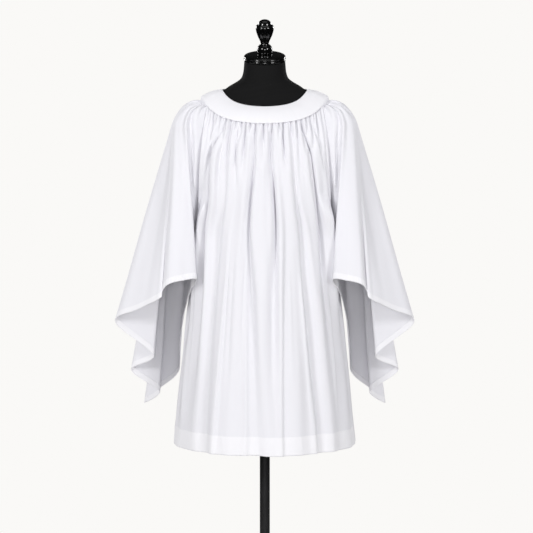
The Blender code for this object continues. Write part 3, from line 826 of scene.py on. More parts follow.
def row_height(face: Face, across: Array, z_edge: Array) -> Array:
    """Height of a row of the body: along the gathering seam at the top, level from the underarm down.

    Args:
        face: Front or back.
        across: Places from -1 to 1 across the panel.
        z_edge: Height of the row at the side edge.

    Returns:
        Heights of its points.
    """
    middle = 0.0 if face is Face.FRONT else pi
    seam_z = GATHER_SEAM.points(middle + radians(SEAM_ARC) * across)[..., 2]
    return z_edge + (seam_z - TOP_Z) * (1.0 - ease((TOP_Z - z_edge) / (TOP_Z - UNDERARM_Z)))


def section_at(z_edge: Array) -> Section:
    """Body's section at heights of its side edge, averaged over a short stretch."""
    reach = np.minimum(0.03, np.minimum(TOP_Z - z_edge, z_edge - HEM_Z))
    total = 0.0
    for share in (-1.0, -0.5, 0.0, 0.5, 1.0):
        z = z_edge + reach * share
        place = np.interp(-z, [-section.z for section in SECTIONS], np.arange(len(SECTIONS)))
        total = total + through(SECTIONS, place) / 5.0
    return Section(*np.moveaxis(total, -1, 0))


@dataclass
class BodyPanel:
    """Front or back of the body, gathered into the yoke and hemmed."""

    face: Face
    creases: Sequence[Crease]
    pleats: Sequence[Pleat]
    gathers: Sequence[Gather]
    seed: int
    columns: int = 320
    first_step: float = 0.0010
    step_growth: float = 1.050
    last_step: float = 0.0100
    hem_marks: tuple[float, ...] = (    # millimetres above the edge
        51.5, 50.6, 49.8, 48.8, 47.9, 47.0, 44.0, 36.0, 26.0, 16.0, 8.0, 3.0, 1.0, 0.0)
    stitched: float = 47.9
    roll: float = 0.0050
    roll_reach: float = 0.065
    wave: float = 0.0018
    fullness: float = 0.033
    corner_place: float = 0.77
    corner_width: float = 0.09
    corner_heights: tuple[float, float] = (1.24, 0.86)
    corner_fades: tuple[float, float] = (0.09, 0.27)
    small_count: int = 18
    wrinkle_count: int = 15
    lean_width: float = 0.9

    def heights(self) -> Array:
        """Heights of the rows at the side edge."""
        hem = np.array(self.hem_marks) * MM
        drops = graded(TOP_Z - HEM_Z - hem[0], self.first_step, self.step_growth, self.last_step)
        return np.concatenate([TOP_Z - drops[:-1], HEM_Z + hem])

    def plain(self, across: Array, z_edge: Array) -> Array:
        """Points of the unfolded panel.

        Args:
            across: Places from -1 to 1 across it.
            z_edge: Height of each row at the side edge.

        Returns:
            The points.
        """
        section = section_at(z_edge)
        edge_x, arc = section.edge_x - SEAM_INSET, np.radians(section.arc)
        depth = section.front if self.face is Face.FRONT else section.back
        edge_y = np.maximum(section.edge_y, SEAM_INSET)
        x = edge_x * np.sin(arc * across) / np.sin(arc)
        inset = (depth - edge_y) * (1.0 - np.cos(arc * across)) / (1.0 - np.cos(arc))
        y = self.face.value * (depth - inset)
        z = row_height(self.face, across, z_edge) - SEAM_INSET
        return np.stack(np.broadcast_arrays(x, y, z), axis=-1)

    def folds(self, across: Array, down: Array, reach: Array) -> tuple[Array, Array]:
        """Long folds from the chest to the hem, with the shorter ones between them.

        Args:
            across: Places from -1 to 1 across the panel.
            down: Shares of its length.
            reach: Half the length of each row.

        Returns:
            The height of the folds, and how far they lean over their valleys.
        """
        level = np.interp(down, CREASE_LEVELS, np.arange(len(CREASE_LEVELS)))
        total = np.zeros(np.broadcast(across, down).shape)
        shift = total.copy()
        for crease in self.creases:
            track = through(list(zip(crease[:5], crease[5:10])), level)
            width = (crease.width_top + (crease.width_hem - crease.width_top) * down ** 1.5) * MM
            distance = (across - track[..., 0]) * reach
            rise = track[..., 1] * FOLD_DEPTH * MM
            total += rise * (leaning(distance, width) - 0.30 * bell(distance, 2.4 * width))
            lean = self.lean_width * width
            shift += FOLD_LEAN * np.minimum(rise, 0.0) * bell(distance - lean, lean)
        for pleat in list(self.pleats) + self.small_pleats():
            share = np.clip((down - pleat.start) / (pleat.end - pleat.start), 0.0, 1.0)
            fade = ease(share / 0.2) * ease((1.0 - share) / 0.45)
            distance = (across - pleat.top - (pleat.low - pleat.top) * share) * reach
            width = pleat.width * (1.0 + 0.8 * share) * MM
            total += pleat.rise * MM * fade * bell(distance, width)
            lean = self.lean_width * width
            shift += FOLD_LEAN * min(pleat.rise, 0.0) * MM * fade * bell(distance - lean, lean)
        return total, shift

    def corner_folds(self, across: Array, z_edge: Array) -> Array:
        """Full folds beside the sleeves, standing forwards and outwards below the armholes.

        Args:
            across: Places from -1 to 1 across the panel.
            z_edge: Height of each row at the side edge.

        Returns:
            How far each point is moved.
        """
        beside = bell(np.abs(across) - self.corner_place, self.corner_width)
        top, low = self.corner_heights
        top_fade, low_fade = self.corner_fades
        swell = beside * ease((top - z_edge) / top_fade) * ease((z_edge - low) / low_fade) * self.fullness
        return np.stack([0.5 * swell * np.sign(across), self.face.value * swell, 0.0 * swell], axis=-1)

    def small_pleats(self) -> list[Pleat]:
        """Uneven short folds between the long ones, drawn from the panel's seed."""
        draw = np.random.default_rng(self.seed + 20)
        made = []
        for place in np.linspace(-0.90, 0.90, self.small_count):
            top = place + draw.uniform(-0.03, 0.03)
            low = top + draw.uniform(-0.02, 0.02)
            length = draw.uniform(0.10, 0.34)
            made.append(Pleat(top, low, 0.0, length, draw.uniform(-5.0, -2.0), draw.uniform(2.8, 4.6)))
        return made

    def gathered(self, across: Array, drop: Array, reach: Array) -> Array:
        """Narrow gathers that start at the yoke, and the roll of cloth that they stand out in.

        Args:
            across: Places from -1 to 1 across the panel.
            drop: Distance of each row below the yoke.
            reach: Half the length of each row.

        Returns:
            Height of the gathers.
        """
        total = gathered_roll(self.roll, self.roll_reach, drop)
        total = total + np.zeros(np.broadcast(across, drop).shape)
        for gather in self.gathers:
            total = total - gather_valley(gather, (across - gather.turn / SEAM_ARC) * reach, drop)
        return total

    def hem_relief(self, metres: Array, above: Array) -> Array:
        """Doubled band, its line of stitching and the short slanted wrinkles along it.

        Args:
            metres: Distance across from the middle.
            above: Height above the hem's edge.

        Returns:
            Height of the relief.
        """
        height = 0.0004 * ease((HEM_DEPTH - above) / DOUBLING)
        height = height - 0.0005 * bell(above - HEM_DEPTH + STITCH_INSET, 0.001)
        draw = np.random.default_rng(self.seed + 40)
        for place in np.linspace(-0.33, 0.33, self.wrinkle_count):
            place = place + draw.uniform(-0.018, 0.018)
            lean = draw.uniform(-0.55, 0.55)
            rise = draw.choice((-1.0, 1.0)) * draw.uniform(0.0005, 0.0011)
            middle = draw.uniform(0.030, 0.052)
            away = metres - place - lean * (above - HEM_DEPTH)
            height = height + rise * bell(away, draw.uniform(0.0035, 0.008)) * bell(above - middle, 0.022)
        return height

    def grid(self) -> ClothGrid:
        """Finished grid of the panel."""
        across = np.linspace(-1.0, 1.0, self.columns + 1)[None, :]
        z_edge = self.heights()[:, None]
        plain = self.plain(across, z_edge)
        steps = np.linalg.norm(np.diff(plain, axis=1), axis=-1)
        reach = steps.sum(axis=1, keepdims=True) / 2.0
        drop, above = TOP_Z - z_edge, z_edge - HEM_Z
        down = drop / (TOP_Z - HEM_Z)
        metres = across * reach
        height, shift = self.folds(across, down, reach)
        height = height * ease(drop / 0.030)
        height = height + self.gathered(across, drop, reach) * ease(drop / YOKE_FADE)
        height = height + self.wave * soft_waves(metres, drop, self.seed) * ease(drop / 0.10)
        edge = (1.0 - np.abs(across)) * reach
        height = height * ease(edge / 0.014) + self.hem_relief(metres, above)
        along = np.gradient(plain, axis=1)
        out = unit(np.stack([along[..., 1], -along[..., 0], 0.0 * along[..., 0]], axis=-1))
        soften = ease(drop / 0.050) * ease(edge / 0.02) * (1.0 - 0.8 * ease((down - 0.32) / 0.30))
        moved = plain - self.face.value * out * height[..., None] + unit(along) * (shift * soften)[..., None]
        points = pulled_in(moved + self.corner_folds(across, z_edge), edge)
        coords = np.stack(np.broadcast_arrays(metres, drop), axis=-1)
        doubled = ease((HEM_DEPTH - above) / DOUBLING) + 0.0 * across
        return ClothGrid(points, coords, doubled, self.face.value)

    def build(self, cloth: bpy.types.Material) -> None:
        """Make the panel, its hem and its stitching."""
        suffix = self.face.name.lower()
        panel, hem, thread = hemmed(self.grid(), "body_" + suffix, "hem_" + suffix, self.hem_marks,
                                    self.stitched, cloth)


# ---------------------------------------------------------------- sleeves

@dataclass
class Sleeve:
    """Wide bell sleeve, gathered into the yoke and open in a cascade of folds."""

    side: Side
    seed: int
    columns_per_line: int = 20
    first_step: float = 0.0026
    step_growth: float = 1.05
    last_step: float = 0.0120
    hem_marks: tuple[float, ...] = (    # millimetres above the edge
        17.4, 16.6, 15.8, 15.0, 14.2, 13.4, 10.5, 6.5, 3.0, 1.0, 0.0)
    stitched: float = 14.2
    roll: float = 0.0035
    roll_reach: float = 0.05
    wave: float = 0.0010

    def armhole_edge(self, z: Array, face: Face) -> Array:
        """Seam edge of the sleeve: the armhole down to the underarm, then the inner seam.

        Args:
            z: Heights of the side edge.
            face: Front or back edge.

        Returns:
            The edge's points.
        """
        section = section_at(z)
        seam_z = row_height(face, np.ones_like(z), z)
        upper = np.stack([section.edge_x + ARMHOLE_STEP, face.value * section.edge_y, seam_z], axis=-1)
        end, underarm_x = SLEEVE_LINES[0], UNDERARM.edge_x
        share = (UNDERARM_Z - z) / (UNDERARM_Z - end.hem_z)
        x = underarm_x + ARMHOLE_STEP + (end.hem_x - underarm_x) * share
        lower = np.stack([x, end.hem_y * share, z], axis=-1)
        return np.where((z >= UNDERARM_Z)[..., None], upper, lower)

    @staticmethod
    def ends_of(line: Line) -> tuple[Array, Array]:
        """Points at shoulder level and at the opening, of lines between the table's rows."""
        cap = np.stack([line.cap_x, line.cap_y, np.full_like(line.cap_x, CAP_Z)], axis=-1)
        return cap, np.stack([line.hem_x, line.hem_y, line.hem_z], axis=-1)

    @staticmethod
    def height_of(down: Array) -> Array:
        """Height of the seam edge at shares of the sleeve's length."""
        return np.interp(down, (0.0, CAP_SHARE, 1.0), (TOP_Z, CAP_Z, SLEEVE_LINES[0].hem_z))

    def free(self, place: Array, down: Array) -> Array:
        """Points of the sleeve before its seam edges are pinned.

        Args:
            place: Places in the lines' table.
            down: Shares of the sleeve's length.

        Returns:
            The points: a rounded head down to shoulder level, then straight lines.
        """
        line = between(SLEEVE_LINES, place)
        turn = np.radians(line.turn)
        cap, end = self.ends_of(line)
        outwards = np.stack([np.sin(turn), -np.cos(turn), 0.0 * turn], axis=-1)
        start = GATHER_SEAM.points(turn) + outwards * SEAM_INSET
        hanging = cap + (end - cap) * ((down - CAP_SHARE) / (1.0 - CAP_SHARE))[..., None]
        share = np.clip(down / CAP_SHARE, 0.0, 1.0)[..., None]
        pull_out = outwards * CAP_PUFF + np.array((0.0, 0.0, CAP_RISE))
        pull_down = unit(end - cap) * np.linalg.norm(cap - start, axis=-1, keepdims=True)
        square, cube = share ** 2, share ** 3
        head = (start * (2.0 * cube - 3.0 * square + 1.0) + pull_out * (cube - 2.0 * square + share)
                + cap * (3.0 * square - 2.0 * cube) + pull_down * (cube - square))
        return np.where((down >= CAP_SHARE)[..., None], hanging, head)

    def surface(self, place: Array, down: Array) -> Array:
        """Points of the sleeve, its seam edges pinned to the armhole and to each other.

        Args:
            place: Places in the lines' table.
            down: Shares of the sleeve's length.

        Returns:
            The points.
        """
        place, down = np.broadcast_arrays(place, down)
        points = self.free(place, down)
        z = self.height_of(down)
        for face, edge_place in ((Face.FRONT, 0.0), (Face.BACK, float(LAST_LINE))):
            away = np.abs(place - edge_place) / PINNED_LINES
            shift = self.armhole_edge(z, face) - self.free(np.full_like(place, edge_place), down)
            points = points + shift * (1.0 - ease(away))[..., None]
        return points

    def marks(self, place: Array) -> tuple[Array, int]:
        """Rows of the sleeve, close together at its head and hem.

        Args:
            place: Places of the columns in the lines' table.

        Returns:
            Share of the length at every row and column, and the row at the underarm.
        """
        cap, end = self.ends_of(between(SLEEVE_LINES, place))
        length = np.linalg.norm(end - cap, axis=-1) / (1.0 - CAP_SHARE)
        hem = np.array(self.hem_marks)[:, None] * MM / length[None, :]
        rows = graded(1.0, self.first_step, self.step_growth, self.last_step)[:-1]
        span = 1.0 - hem[0]
        below_cap = (1.0 - CAP_SHARE) * (CAP_Z - UNDERARM_Z) / (CAP_Z - SLEEVE_LINES[0].hem_z)
        underarm = (CAP_SHARE + below_cap) / span[0]
        nearest = int(np.argmin(np.abs(rows - underarm)))
        rows[nearest] = underarm
        return np.concatenate([rows[:, None] * span[None, :], 1.0 - hem]), nearest

    def relief(self, place: Array, down: Array, drop: Array, pitch: Array) -> Array:
        """Gathers at the head, long soft folds and slow waves.

        Args:
            place: Places in the lines' table.
            down: Shares of the sleeve's length.
            drop: Distances below the yoke.
            pitch: Distances between neighbouring lines.

        Returns:
            Height of the relief.
        """
        height = gathered_roll(self.roll, self.roll_reach, drop)
        turns = [line.turn for line in SLEEVE_LINES]
        for gather in HEAD_GATHERS:
            gather_place = float(np.interp(gather.turn, turns, np.arange(len(turns))))
            height = height - gather_valley(gather, (place - gather_place) * pitch, drop)
        height = height * ease(drop / YOKE_FADE)
        level = np.interp(down, SLEEVE_LEVELS, np.arange(len(SLEEVE_LEVELS)))
        for crease in SLEEVE_CREASES:
            track = through(list(zip(crease[:3], crease[3:6])), level)
            width = (crease.width_head + (crease.width_hem - crease.width_head) * down) * MM
            distance = (place - track[..., 0]) * pitch
            height = height + track[..., 1] * MM * bell(distance, width) * ease((down - 0.03) / 0.15)
        height = height + self.wave * soft_waves(place * 0.045, drop, self.seed) * ease(drop / 0.12)
        return height * ease(place / 0.6) * ease((LAST_LINE - place) / 0.6)

    def hem_relief(self, metres: Array, above: Array) -> Array:
        """Doubled band with its stitching and fine puckers.

        Args:
            metres: Distance round the sleeve.
            above: Distance above the hem's edge.

        Returns:
            Height of the relief.
        """
        height = 0.0003 * ease((SLEEVE_HEM_DEPTH - above) / SLEEVE_DOUBLING)
        height = height - 0.0004 * bell(above - SLEEVE_HEM_DEPTH + STITCH_INSET, 0.0009)
        uneven = 0.35 + 0.65 * ease(np.sin(metres * 11.0 + self.seed) * 0.5 + 0.5)
        pucker = np.sin(2.0 * pi * (metres + 0.35 * above) / 0.0085 + 2.0 * np.sin(metres * 37.0))
        return height + 0.00042 * pucker * uneven * bell(above - SLEEVE_HEM_DEPTH * 0.6, 0.011)

    def grid(self) -> ClothGrid:
        """Finished grid of the sleeve."""
        count = LAST_LINE * self.columns_per_line
        place = np.linspace(0.0, LAST_LINE, count + 1)
        down, underarm_row = self.marks(place)
        plain = self.surface(place[None, :], down)
        pitch = np.linalg.norm(np.gradient(plain, axis=1), axis=-1) * self.columns_per_line
        steps = np.linalg.norm(np.diff(plain, axis=0), axis=-1)
        drop = np.concatenate([np.zeros((1, count + 1)), np.cumsum(steps, axis=0)])
        above = drop[-1:] - drop
        metres = np.cumsum(pitch / self.columns_per_line, axis=1)
        height = self.relief(place[None, :] + 0.0 * down, down, drop, pitch)
        height = height + self.hem_relief(metres, above) * ease(place / 0.3) * ease((LAST_LINE - place) / 0.3)
        doubled = ease((SLEEVE_HEM_DEPTH - above) / SLEEVE_DOUBLING)
        coords = np.stack([metres[:1] + 0.0 * metres, drop], axis=-1)
        grid = ClothGrid(plain, coords, doubled, -1, underarm_row)
        grid.raise_by(height)
        grid.points = pulled_in(grid.points, np.minimum(place, LAST_LINE - place) * pitch)
        grid.points = grid.points * np.array((self.side.value, 1.0, 1.0))
        grid.outward = -self.side.value
        return grid

    def build(self, cloth: bpy.types.Material) -> None:
        """Make the sleeve, its hem and its stitching."""
        suffix = self.side.name.lower()
        sleeve, hem, thread = hemmed(self.grid(), "sleeve_" + suffix, "sleeve_hem_" + suffix,
                                     self.hem_marks, self.stitched, cloth)


# ---------------------------------------------------------------- modelling by operators

def select_none() -> None:
    """Leave edit mode with nothing selected."""
    if bpy.context.object is not None and bpy.context.object.mode != "OBJECT":
        bpy.ops.object.mode_set(mode="OBJECT")
    bpy.ops.object.select_all(action="DESELECT")


def recalculate_normals(piece: bpy.types.Object) -> None:
    """Turn all the faces of a piece outwards."""
    select_none()
    piece.select_set(True)
    bpy.context.view_layer.objects.active = piece
    bpy.ops.object.mode_set(mode="EDIT")
    bpy.ops.mesh.select_all(action="SELECT")
    bpy.ops.mesh.normals_make_consistent(inside=False)
    bpy.ops.object.mode_set(mode="OBJECT")
    select_none()


def drum(half: Sequence[tuple[float, float]], low: float, high: float) -> list[Ring]:
    """Rings of a round piece whose two ends are alike, from top to bottom.

    Args:
        half: Radius of each ring of one end, and its distance from that end.
        low: Height of the bottom.
        high: Height of the top.

    Returns:
        All its rings.
    """
    top = [Ring(radius, high - inset) for radius, inset in half]
    return top + [Ring(radius, low + inset) for radius, inset in reversed(half)]


def turned(name: str, rings: Sequence[Ring], sides: int, place: Matrix,
           material: bpy.types.Material) -> bpy.types.Object:
    """Turn a solid about Z, ring by ring from the top, and close both its ends.

    Args:
        name: The piece's name.
        rings: Its outer rings, top to bottom.
        sides: Sides of each ring.
        place: Where the solid's own frame goes.
        material: Its finish.

    Returns:
        The finished object.
    """
    select_none()
    bpy.ops.mesh.primitive_circle_add(vertices=sides, radius=rings[0].radius, location=(0.0, 0.0, 0.0))
    piece = bpy.context.object
    piece.name = piece.data.name = name
    bpy.ops.object.mode_set(mode="EDIT")
    bpy.ops.mesh.select_all(action="SELECT")
    bpy.ops.transform.translate(value=(0.0, 0.0, rings[0].height))
    bpy.ops.mesh.extrude_edges_move()
    bpy.ops.transform.resize(value=(0.02, 0.02, 1.0), center_override=(0.0, 0.0, rings[0].height))
    bpy.ops.mesh.merge(type="CENTER")
    select_ring(piece, rings[0])
    for above, ring in zip(rings, rings[1:]):
        bpy.ops.mesh.extrude_edges_move()
        bpy.ops.transform.translate(value=(0.0, 0.0, ring.height - above.height))
        scale = ring.radius / above.radius
        bpy.ops.transform.resize(value=(scale, scale, 1.0), center_override=(0.0, 0.0, ring.height))
    bpy.ops.mesh.extrude_edges_move()
    bpy.ops.mesh.merge(type="CENTER")
    bpy.ops.mesh.select_all(action="SELECT")
    bpy.ops.mesh.remove_doubles(threshold=0.00001)
    bpy.ops.mesh.normals_make_consistent(inside=False)
    bpy.ops.object.mode_set(mode="OBJECT")
    smooth = piece.modifiers.new("Smooth", "SUBSURF")
    smooth.levels = smooth.render_levels = 1
    bpy.ops.object.modifier_apply(modifier=smooth.name)
    piece.data.transform(place)
    piece.data.materials.append(material)
    bpy.ops.object.shade_smooth()
    select_none()
    return piece


def select_ring(piece: bpy.types.Object, ring: Ring) -> None:
    """Select the edges of one ring in edit mode, by their radius and height."""
    bpy.ops.mesh.select_all(action="DESELECT")
    bpy.ops.object.mode_set(mode="OBJECT")
    on_ring = {vertex.index for vertex in piece.data.vertices
               if abs(vertex.co.xy.length - ring.radius) < 1e-5 and abs(vertex.co.z - ring.height) < 1e-5}
    for edge in piece.data.edges:
        edge.select = all(corner in on_ring for corner in edge.vertices)
    for vertex in piece.data.vertices:
        vertex.select = vertex.index in on_ring
    bpy.ops.object.mode_set(mode="EDIT")
    bpy.ops.mesh.select_mode(type="EDGE")


# ---------------------------------------------------------------- dress form

@dataclass
class DressForm:
    """Covered torso with a turned cap and finial on its neck, and its stand."""

    sides: int = 96
    rows_per_section: int = 5
    pole_radius: float = 0.014
    pole_edge: float = 0.0012

    def torso(self, cover: bpy.types.Material) -> None:
        """Torso and neck in one closed loft."""
        count = (len(TORSO) - 1) * self.rows_per_section
        section = between(TORSO, np.linspace(0.0, len(TORSO) - 1, count + 1)[:, None])
        turn = np.linspace(0.0, 2.0 * pi, self.sides, endpoint=False)[None, :]
        power = 2.0 / section.roundness
        depth = np.where(np.sin(turn) < 0.0, section.front, section.back)
        x = section.half_width * np.sign(np.cos(turn)) * np.abs(np.cos(turn)) ** power
        y = depth * np.sign(np.sin(turn)) * np.abs(np.sin(turn)) ** power
        points = np.stack([x, y, section.z + section.slope * y], axis=-1)
        index = np.arange(points[..., 0].size).reshape(points.shape[:2])
        after = np.roll(index, -1, axis=1)
        quads = np.stack([index[:-1], index[1:], after[1:], after[:-1]], axis=-1).reshape(-1, 4).tolist()
        ends = [index[0].tolist(), index[-1, ::-1].tolist()]
        mesh = bpy.data.meshes.new("form_torso_cover")
        mesh.from_pydata(points.reshape(-1, 3).tolist(), [], quads + ends)
        round_it = turn * section.half_width
        coords = np.stack(np.broadcast_arrays(round_it, -section.z), axis=-1).reshape(-1, 2)
        layer = mesh.uv_layers.new(name="cloth")
        corner_points = np.zeros(len(mesh.loops), dtype=np.int32)
        mesh.loops.foreach_get("vertex_index", corner_points)
        layer.data.foreach_set("uv", coords[corner_points].astype(np.float32).ravel())
        mesh.materials.append(cover)
        mesh.shade_smooth()
        mesh.set_sharp_from_angle(angle=radians(50))
        place_piece(linked("form_torso_cover", mesh), Slot.COVER, "form_torso")

    def neck(self, wood: bpy.types.Material) -> None:
        """Moulded cap on the neck and the turned finial on it."""
        lean = Matrix.Translation((0.0, 0.0, TORSO[0].z + CONTACT_GAP)) @ Matrix.Rotation(NECK_LEAN, 4, "X")
        cap = turned("neck_cap_turned", NECK_CAP, 96, lean, wood)
        place_piece(cap, Slot.WOOD, "neck_cap")
        rise = Matrix.Translation((0.0, 0.0, NECK_CAP[0].height + CONTACT_GAP))
        finial = turned("finial_turned", FINIAL, 72, lean @ rise, wood)
        place_piece(finial, Slot.WOOD, "finial")

    def stand(self, wood: bpy.types.Material, steel: bpy.types.Material) -> None:
        """Board that closes the torso, pole and round base."""
        low, high = (Vector(corner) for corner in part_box("torso_board"))
        middle, size = (low + high) / 2.0, high - low
        rings = drum(((0.90, 0.0), (0.985, 0.0), (1.0, 0.0015)), low.z, high.z)
        stretch = Matrix.Diagonal((size.x / 2.0, size.y / 2.0, 1.0, 1.0))
        shape = Matrix.Translation((middle.x, middle.y, 0.0)) @ stretch
        board = turned("torso_board_wood", rings, 96, shape, wood)
        place_piece(board, Slot.WOOD, "torso_board")
        low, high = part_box("pole")
        radius, edge = self.pole_radius, self.pole_edge
        rings = drum(((radius - edge, 0.0), (radius, edge), (radius, 0.02)), low[2], high[2])
        pole = turned("pole_tube", rings, 48, Matrix(), steel)
        place_piece(pole, Slot.STEEL, "pole")
        base = turned("base_plate_steel", BASE_PLATE, 128, Matrix(), steel)
        place_piece(base, Slot.STEEL, "base_plate")

    def build(self, cover: bpy.types.Material, wood: bpy.types.Material, steel: bpy.types.Material) -> None:
        """Make the whole form."""
        self.torso(cover)
        self.neck(wood)
        self.stand(wood, steel)


# ---------------------------------------------------------------- finishes

class Graph:
    """Short way to add nodes to a shader tree and link them."""

    def __init__(self, tree: bpy.types.NodeTree) -> None:
        """Hold the tree."""
        self.tree = tree

    @classmethod
    def cleared(cls, owner: bpy.types.ID) -> "Graph":
        """Graph of a material's or world's own tree, emptied first."""
        owner.use_nodes = True
        owner.node_tree.nodes.clear()
        return cls(owner.node_tree)

    def add(self, kind: str, values: Optional[dict] = None, **settings) -> bpy.types.Node:
        """Add a node.

        Args:
            kind: Its type.
            values: Its inputs, as numbers, colours or sockets to link.
            settings: Its other properties.

        Returns:
            The node.
        """
        node = self.tree.nodes.new(kind)
        for key, value in settings.items():
            setattr(node, key, value)
        for key, value in (values or {}).items():
            if isinstance(value, bpy.types.NodeSocket):
                self.tree.links.new(value, node.inputs[key])
            else:
                node.inputs[key].default_value = value
        return node

    def math(self, operation: str, *values: object) -> bpy.types.NodeSocket:
        """Result of a Math node on numbers or sockets."""
        return self.add("ShaderNodeMath", dict(enumerate(values)), operation=operation).outputs[0]

    def mixed(self, share: bpy.types.NodeSocket, first: bpy.types.NodeSocket,
              second: bpy.types.NodeSocket) -> bpy.types.NodeSocket:
        """Mix of two shaders."""
        return self.add("ShaderNodeMixShader", {0: share, 1: first, 2: second}).outputs[0]

    def bump(self, height: bpy.types.NodeSocket, distance: float, strength: float,
             **more: bpy.types.NodeSocket) -> bpy.types.NodeSocket:
        """Normal of a bumpy surface. more may hold the Normal that it starts from."""
        values = {"Height": height, "Distance": distance, "Strength": strength, **more}
        return self.add("ShaderNodeBump", values).outputs["Normal"]

    def surface(self, colour: object, shade: bpy.types.NodeSocket, rumple: bpy.types.NodeSocket,
                roughness: float, values: dict) -> None:
        """Principled surface with an uneven colour and roughness.

        Args:
            colour: Its colour, as numbers or a socket.
            shade: How bright the colour is.
            rumple: Variation of the roughness, from 0 to 1.
            roughness: Its mean.
            values: The shader's other inputs.
        """
        shaded = self.add("ShaderNodeVectorMath", {0: colour, "Scale": shade}, operation="SCALE")
        rough = self.math("MULTIPLY_ADD", rumple, 0.10, roughness - 0.05)
        shader = self.add("ShaderNodeBsdfPrincipled", {
            "Base Color": shaded.outputs["Vector"], "Roughness": rough, **values})
        self.add("ShaderNodeOutputMaterial", {"Surface": shader.outputs["BSDF"]})


def new_material(name: str) -> tuple[bpy.types.Material, Graph]:
    """New material and the graph of its tree."""
    material = bpy.data.materials.new(name)
    return material, Graph.cleared(material)


def new_group(name: str, inputs: dict[str, str],
              outputs: dict[str, str]) -> tuple[bpy.types.NodeTree, Graph]:
    """New shader node group with its sockets.

    Args:
        name: The group's name.
        inputs: Socket types by name.
        outputs: Socket types by name.

    Returns:
        The group and its graph.
    """
    tree = bpy.data.node_groups.new(name, "ShaderNodeTree")
    for socket, kind in inputs.items():
        tree.interface.new_socket(name=socket, in_out="INPUT", socket_type=kind)
    for socket, kind in outputs.items():
        tree.interface.new_socket(name=socket, in_out="OUTPUT", socket_type=kind)
    return tree, Graph(tree)


def weave_group() -> bpy.types.NodeTree:
    """Plain weave: height of its threads at a place on the cloth in metres."""
    tree, graph = new_group("plain_weave", {"Vector": "NodeSocketVector", "Threads": "NodeSocketFloat"},
                            {"Height": "NodeSocketFloat"})
    given = graph.add("NodeGroupInput")
    parts = graph.add("ShaderNodeSeparateXYZ", {"Vector": given.outputs["Vector"]})
    waves = []
    for axis in ("X", "Y"):
        turns = graph.math("MULTIPLY", parts.outputs[axis], given.outputs["Threads"])
        waves.append(graph.math("SINE", graph.math("MULTIPLY", turns, pi)))
    woven = graph.math("MULTIPLY", waves[0], waves[1])
    noise = graph.add("ShaderNodeTexNoise", {
        "Vector": given.outputs["Vector"], "Scale": 900.0, "Detail": 2.0})
    height = graph.math("ADD", graph.math("MULTIPLY", woven, 0.5), noise.outputs["Fac"])
    graph.add("NodeGroupOutput", {"Height": height})
    return tree


def unevenness_group() -> bpy.types.NodeTree:
    """Slow cloudy variation from 0 to 1, and a finer one for small rumples."""
    inputs = {"Vector": "NodeSocketVector", "Scale": "NodeSocketFloat", "Stretch": "NodeSocketFloat"}
    tree, graph = new_group("unevenness", inputs, {"Cloud": "NodeSocketFloat", "Rumple": "NodeSocketFloat"})
    given = graph.add("NodeGroupInput")
    parts = graph.add("ShaderNodeSeparateXYZ", {"Vector": given.outputs["Vector"]})
    upright = graph.math("MULTIPLY", parts.outputs["Y"], given.outputs["Stretch"])
    place = graph.add("ShaderNodeCombineXYZ", {
        "X": parts.outputs["X"], "Y": upright, "Z": parts.outputs["Z"]})
    results = {}
    for name, ratio, detail in (("Cloud", 1.0, 3.0), ("Rumple", 5.0, 4.0)):
        scale = graph.math("MULTIPLY", given.outputs["Scale"], ratio)
        noise = graph.add("ShaderNodeTexNoise", {
            "Vector": place.outputs["Vector"], "Scale": scale, "Detail": detail})
        results[name] = noise.outputs["Fac"]
    graph.add("NodeGroupOutput", results)
    return tree


@dataclass(frozen=True)
class WovenFinish:
    """Matt woven cloth, paler where it is doubled."""

    name: str
    single: tuple[float, float, float]
    double: tuple[float, float, float]
    threads: float
    roughness: float
    sheen: float
    weave_depth: float
    rumple_depth: float
    variation: float
    gloss: float
    cloud_scale: float = 14.0
    cloud_stretch: float = 0.28

    def material(self, weave: bpy.types.NodeTree, uneven: bpy.types.NodeTree) -> bpy.types.Material:
        """Make the finish from the shared weave and unevenness."""
        material, graph = new_material(self.name)
        place = graph.add("ShaderNodeUVMap", uv_map="cloth").outputs["UV"]
        doubled = graph.add("ShaderNodeAttribute", attribute_name="doubled").outputs["Fac"]
        threads = graph.add("ShaderNodeGroup", {"Vector": place, "Threads": self.threads}, node_tree=weave)
        clouds = graph.add("ShaderNodeGroup", {
            "Vector": place, "Scale": self.cloud_scale, "Stretch": self.cloud_stretch}, node_tree=uneven)
        tint = graph.add("ShaderNodeMix", {
            "Factor": doubled, "A": (*self.single, 1.0), "B": (*self.double, 1.0)}, data_type="RGBA")
        cloud, rumple = clouds.outputs["Cloud"], clouds.outputs["Rumple"]
        shade = graph.math("MULTIPLY_ADD", cloud, self.variation, 1.0 - self.variation * 0.5)
        rumpled = graph.bump(rumple, self.rumple_depth, 0.6)
        normal = graph.bump(threads.outputs["Height"], self.weave_depth, 0.5, Normal=rumpled)
        graph.surface(tint.outputs["Result"], shade, rumple, self.roughness, {
            "Normal": normal, "Sheen Weight": self.sheen, "Sheen Roughness": 0.5,
            "Specular IOR Level": self.gloss})
        return material


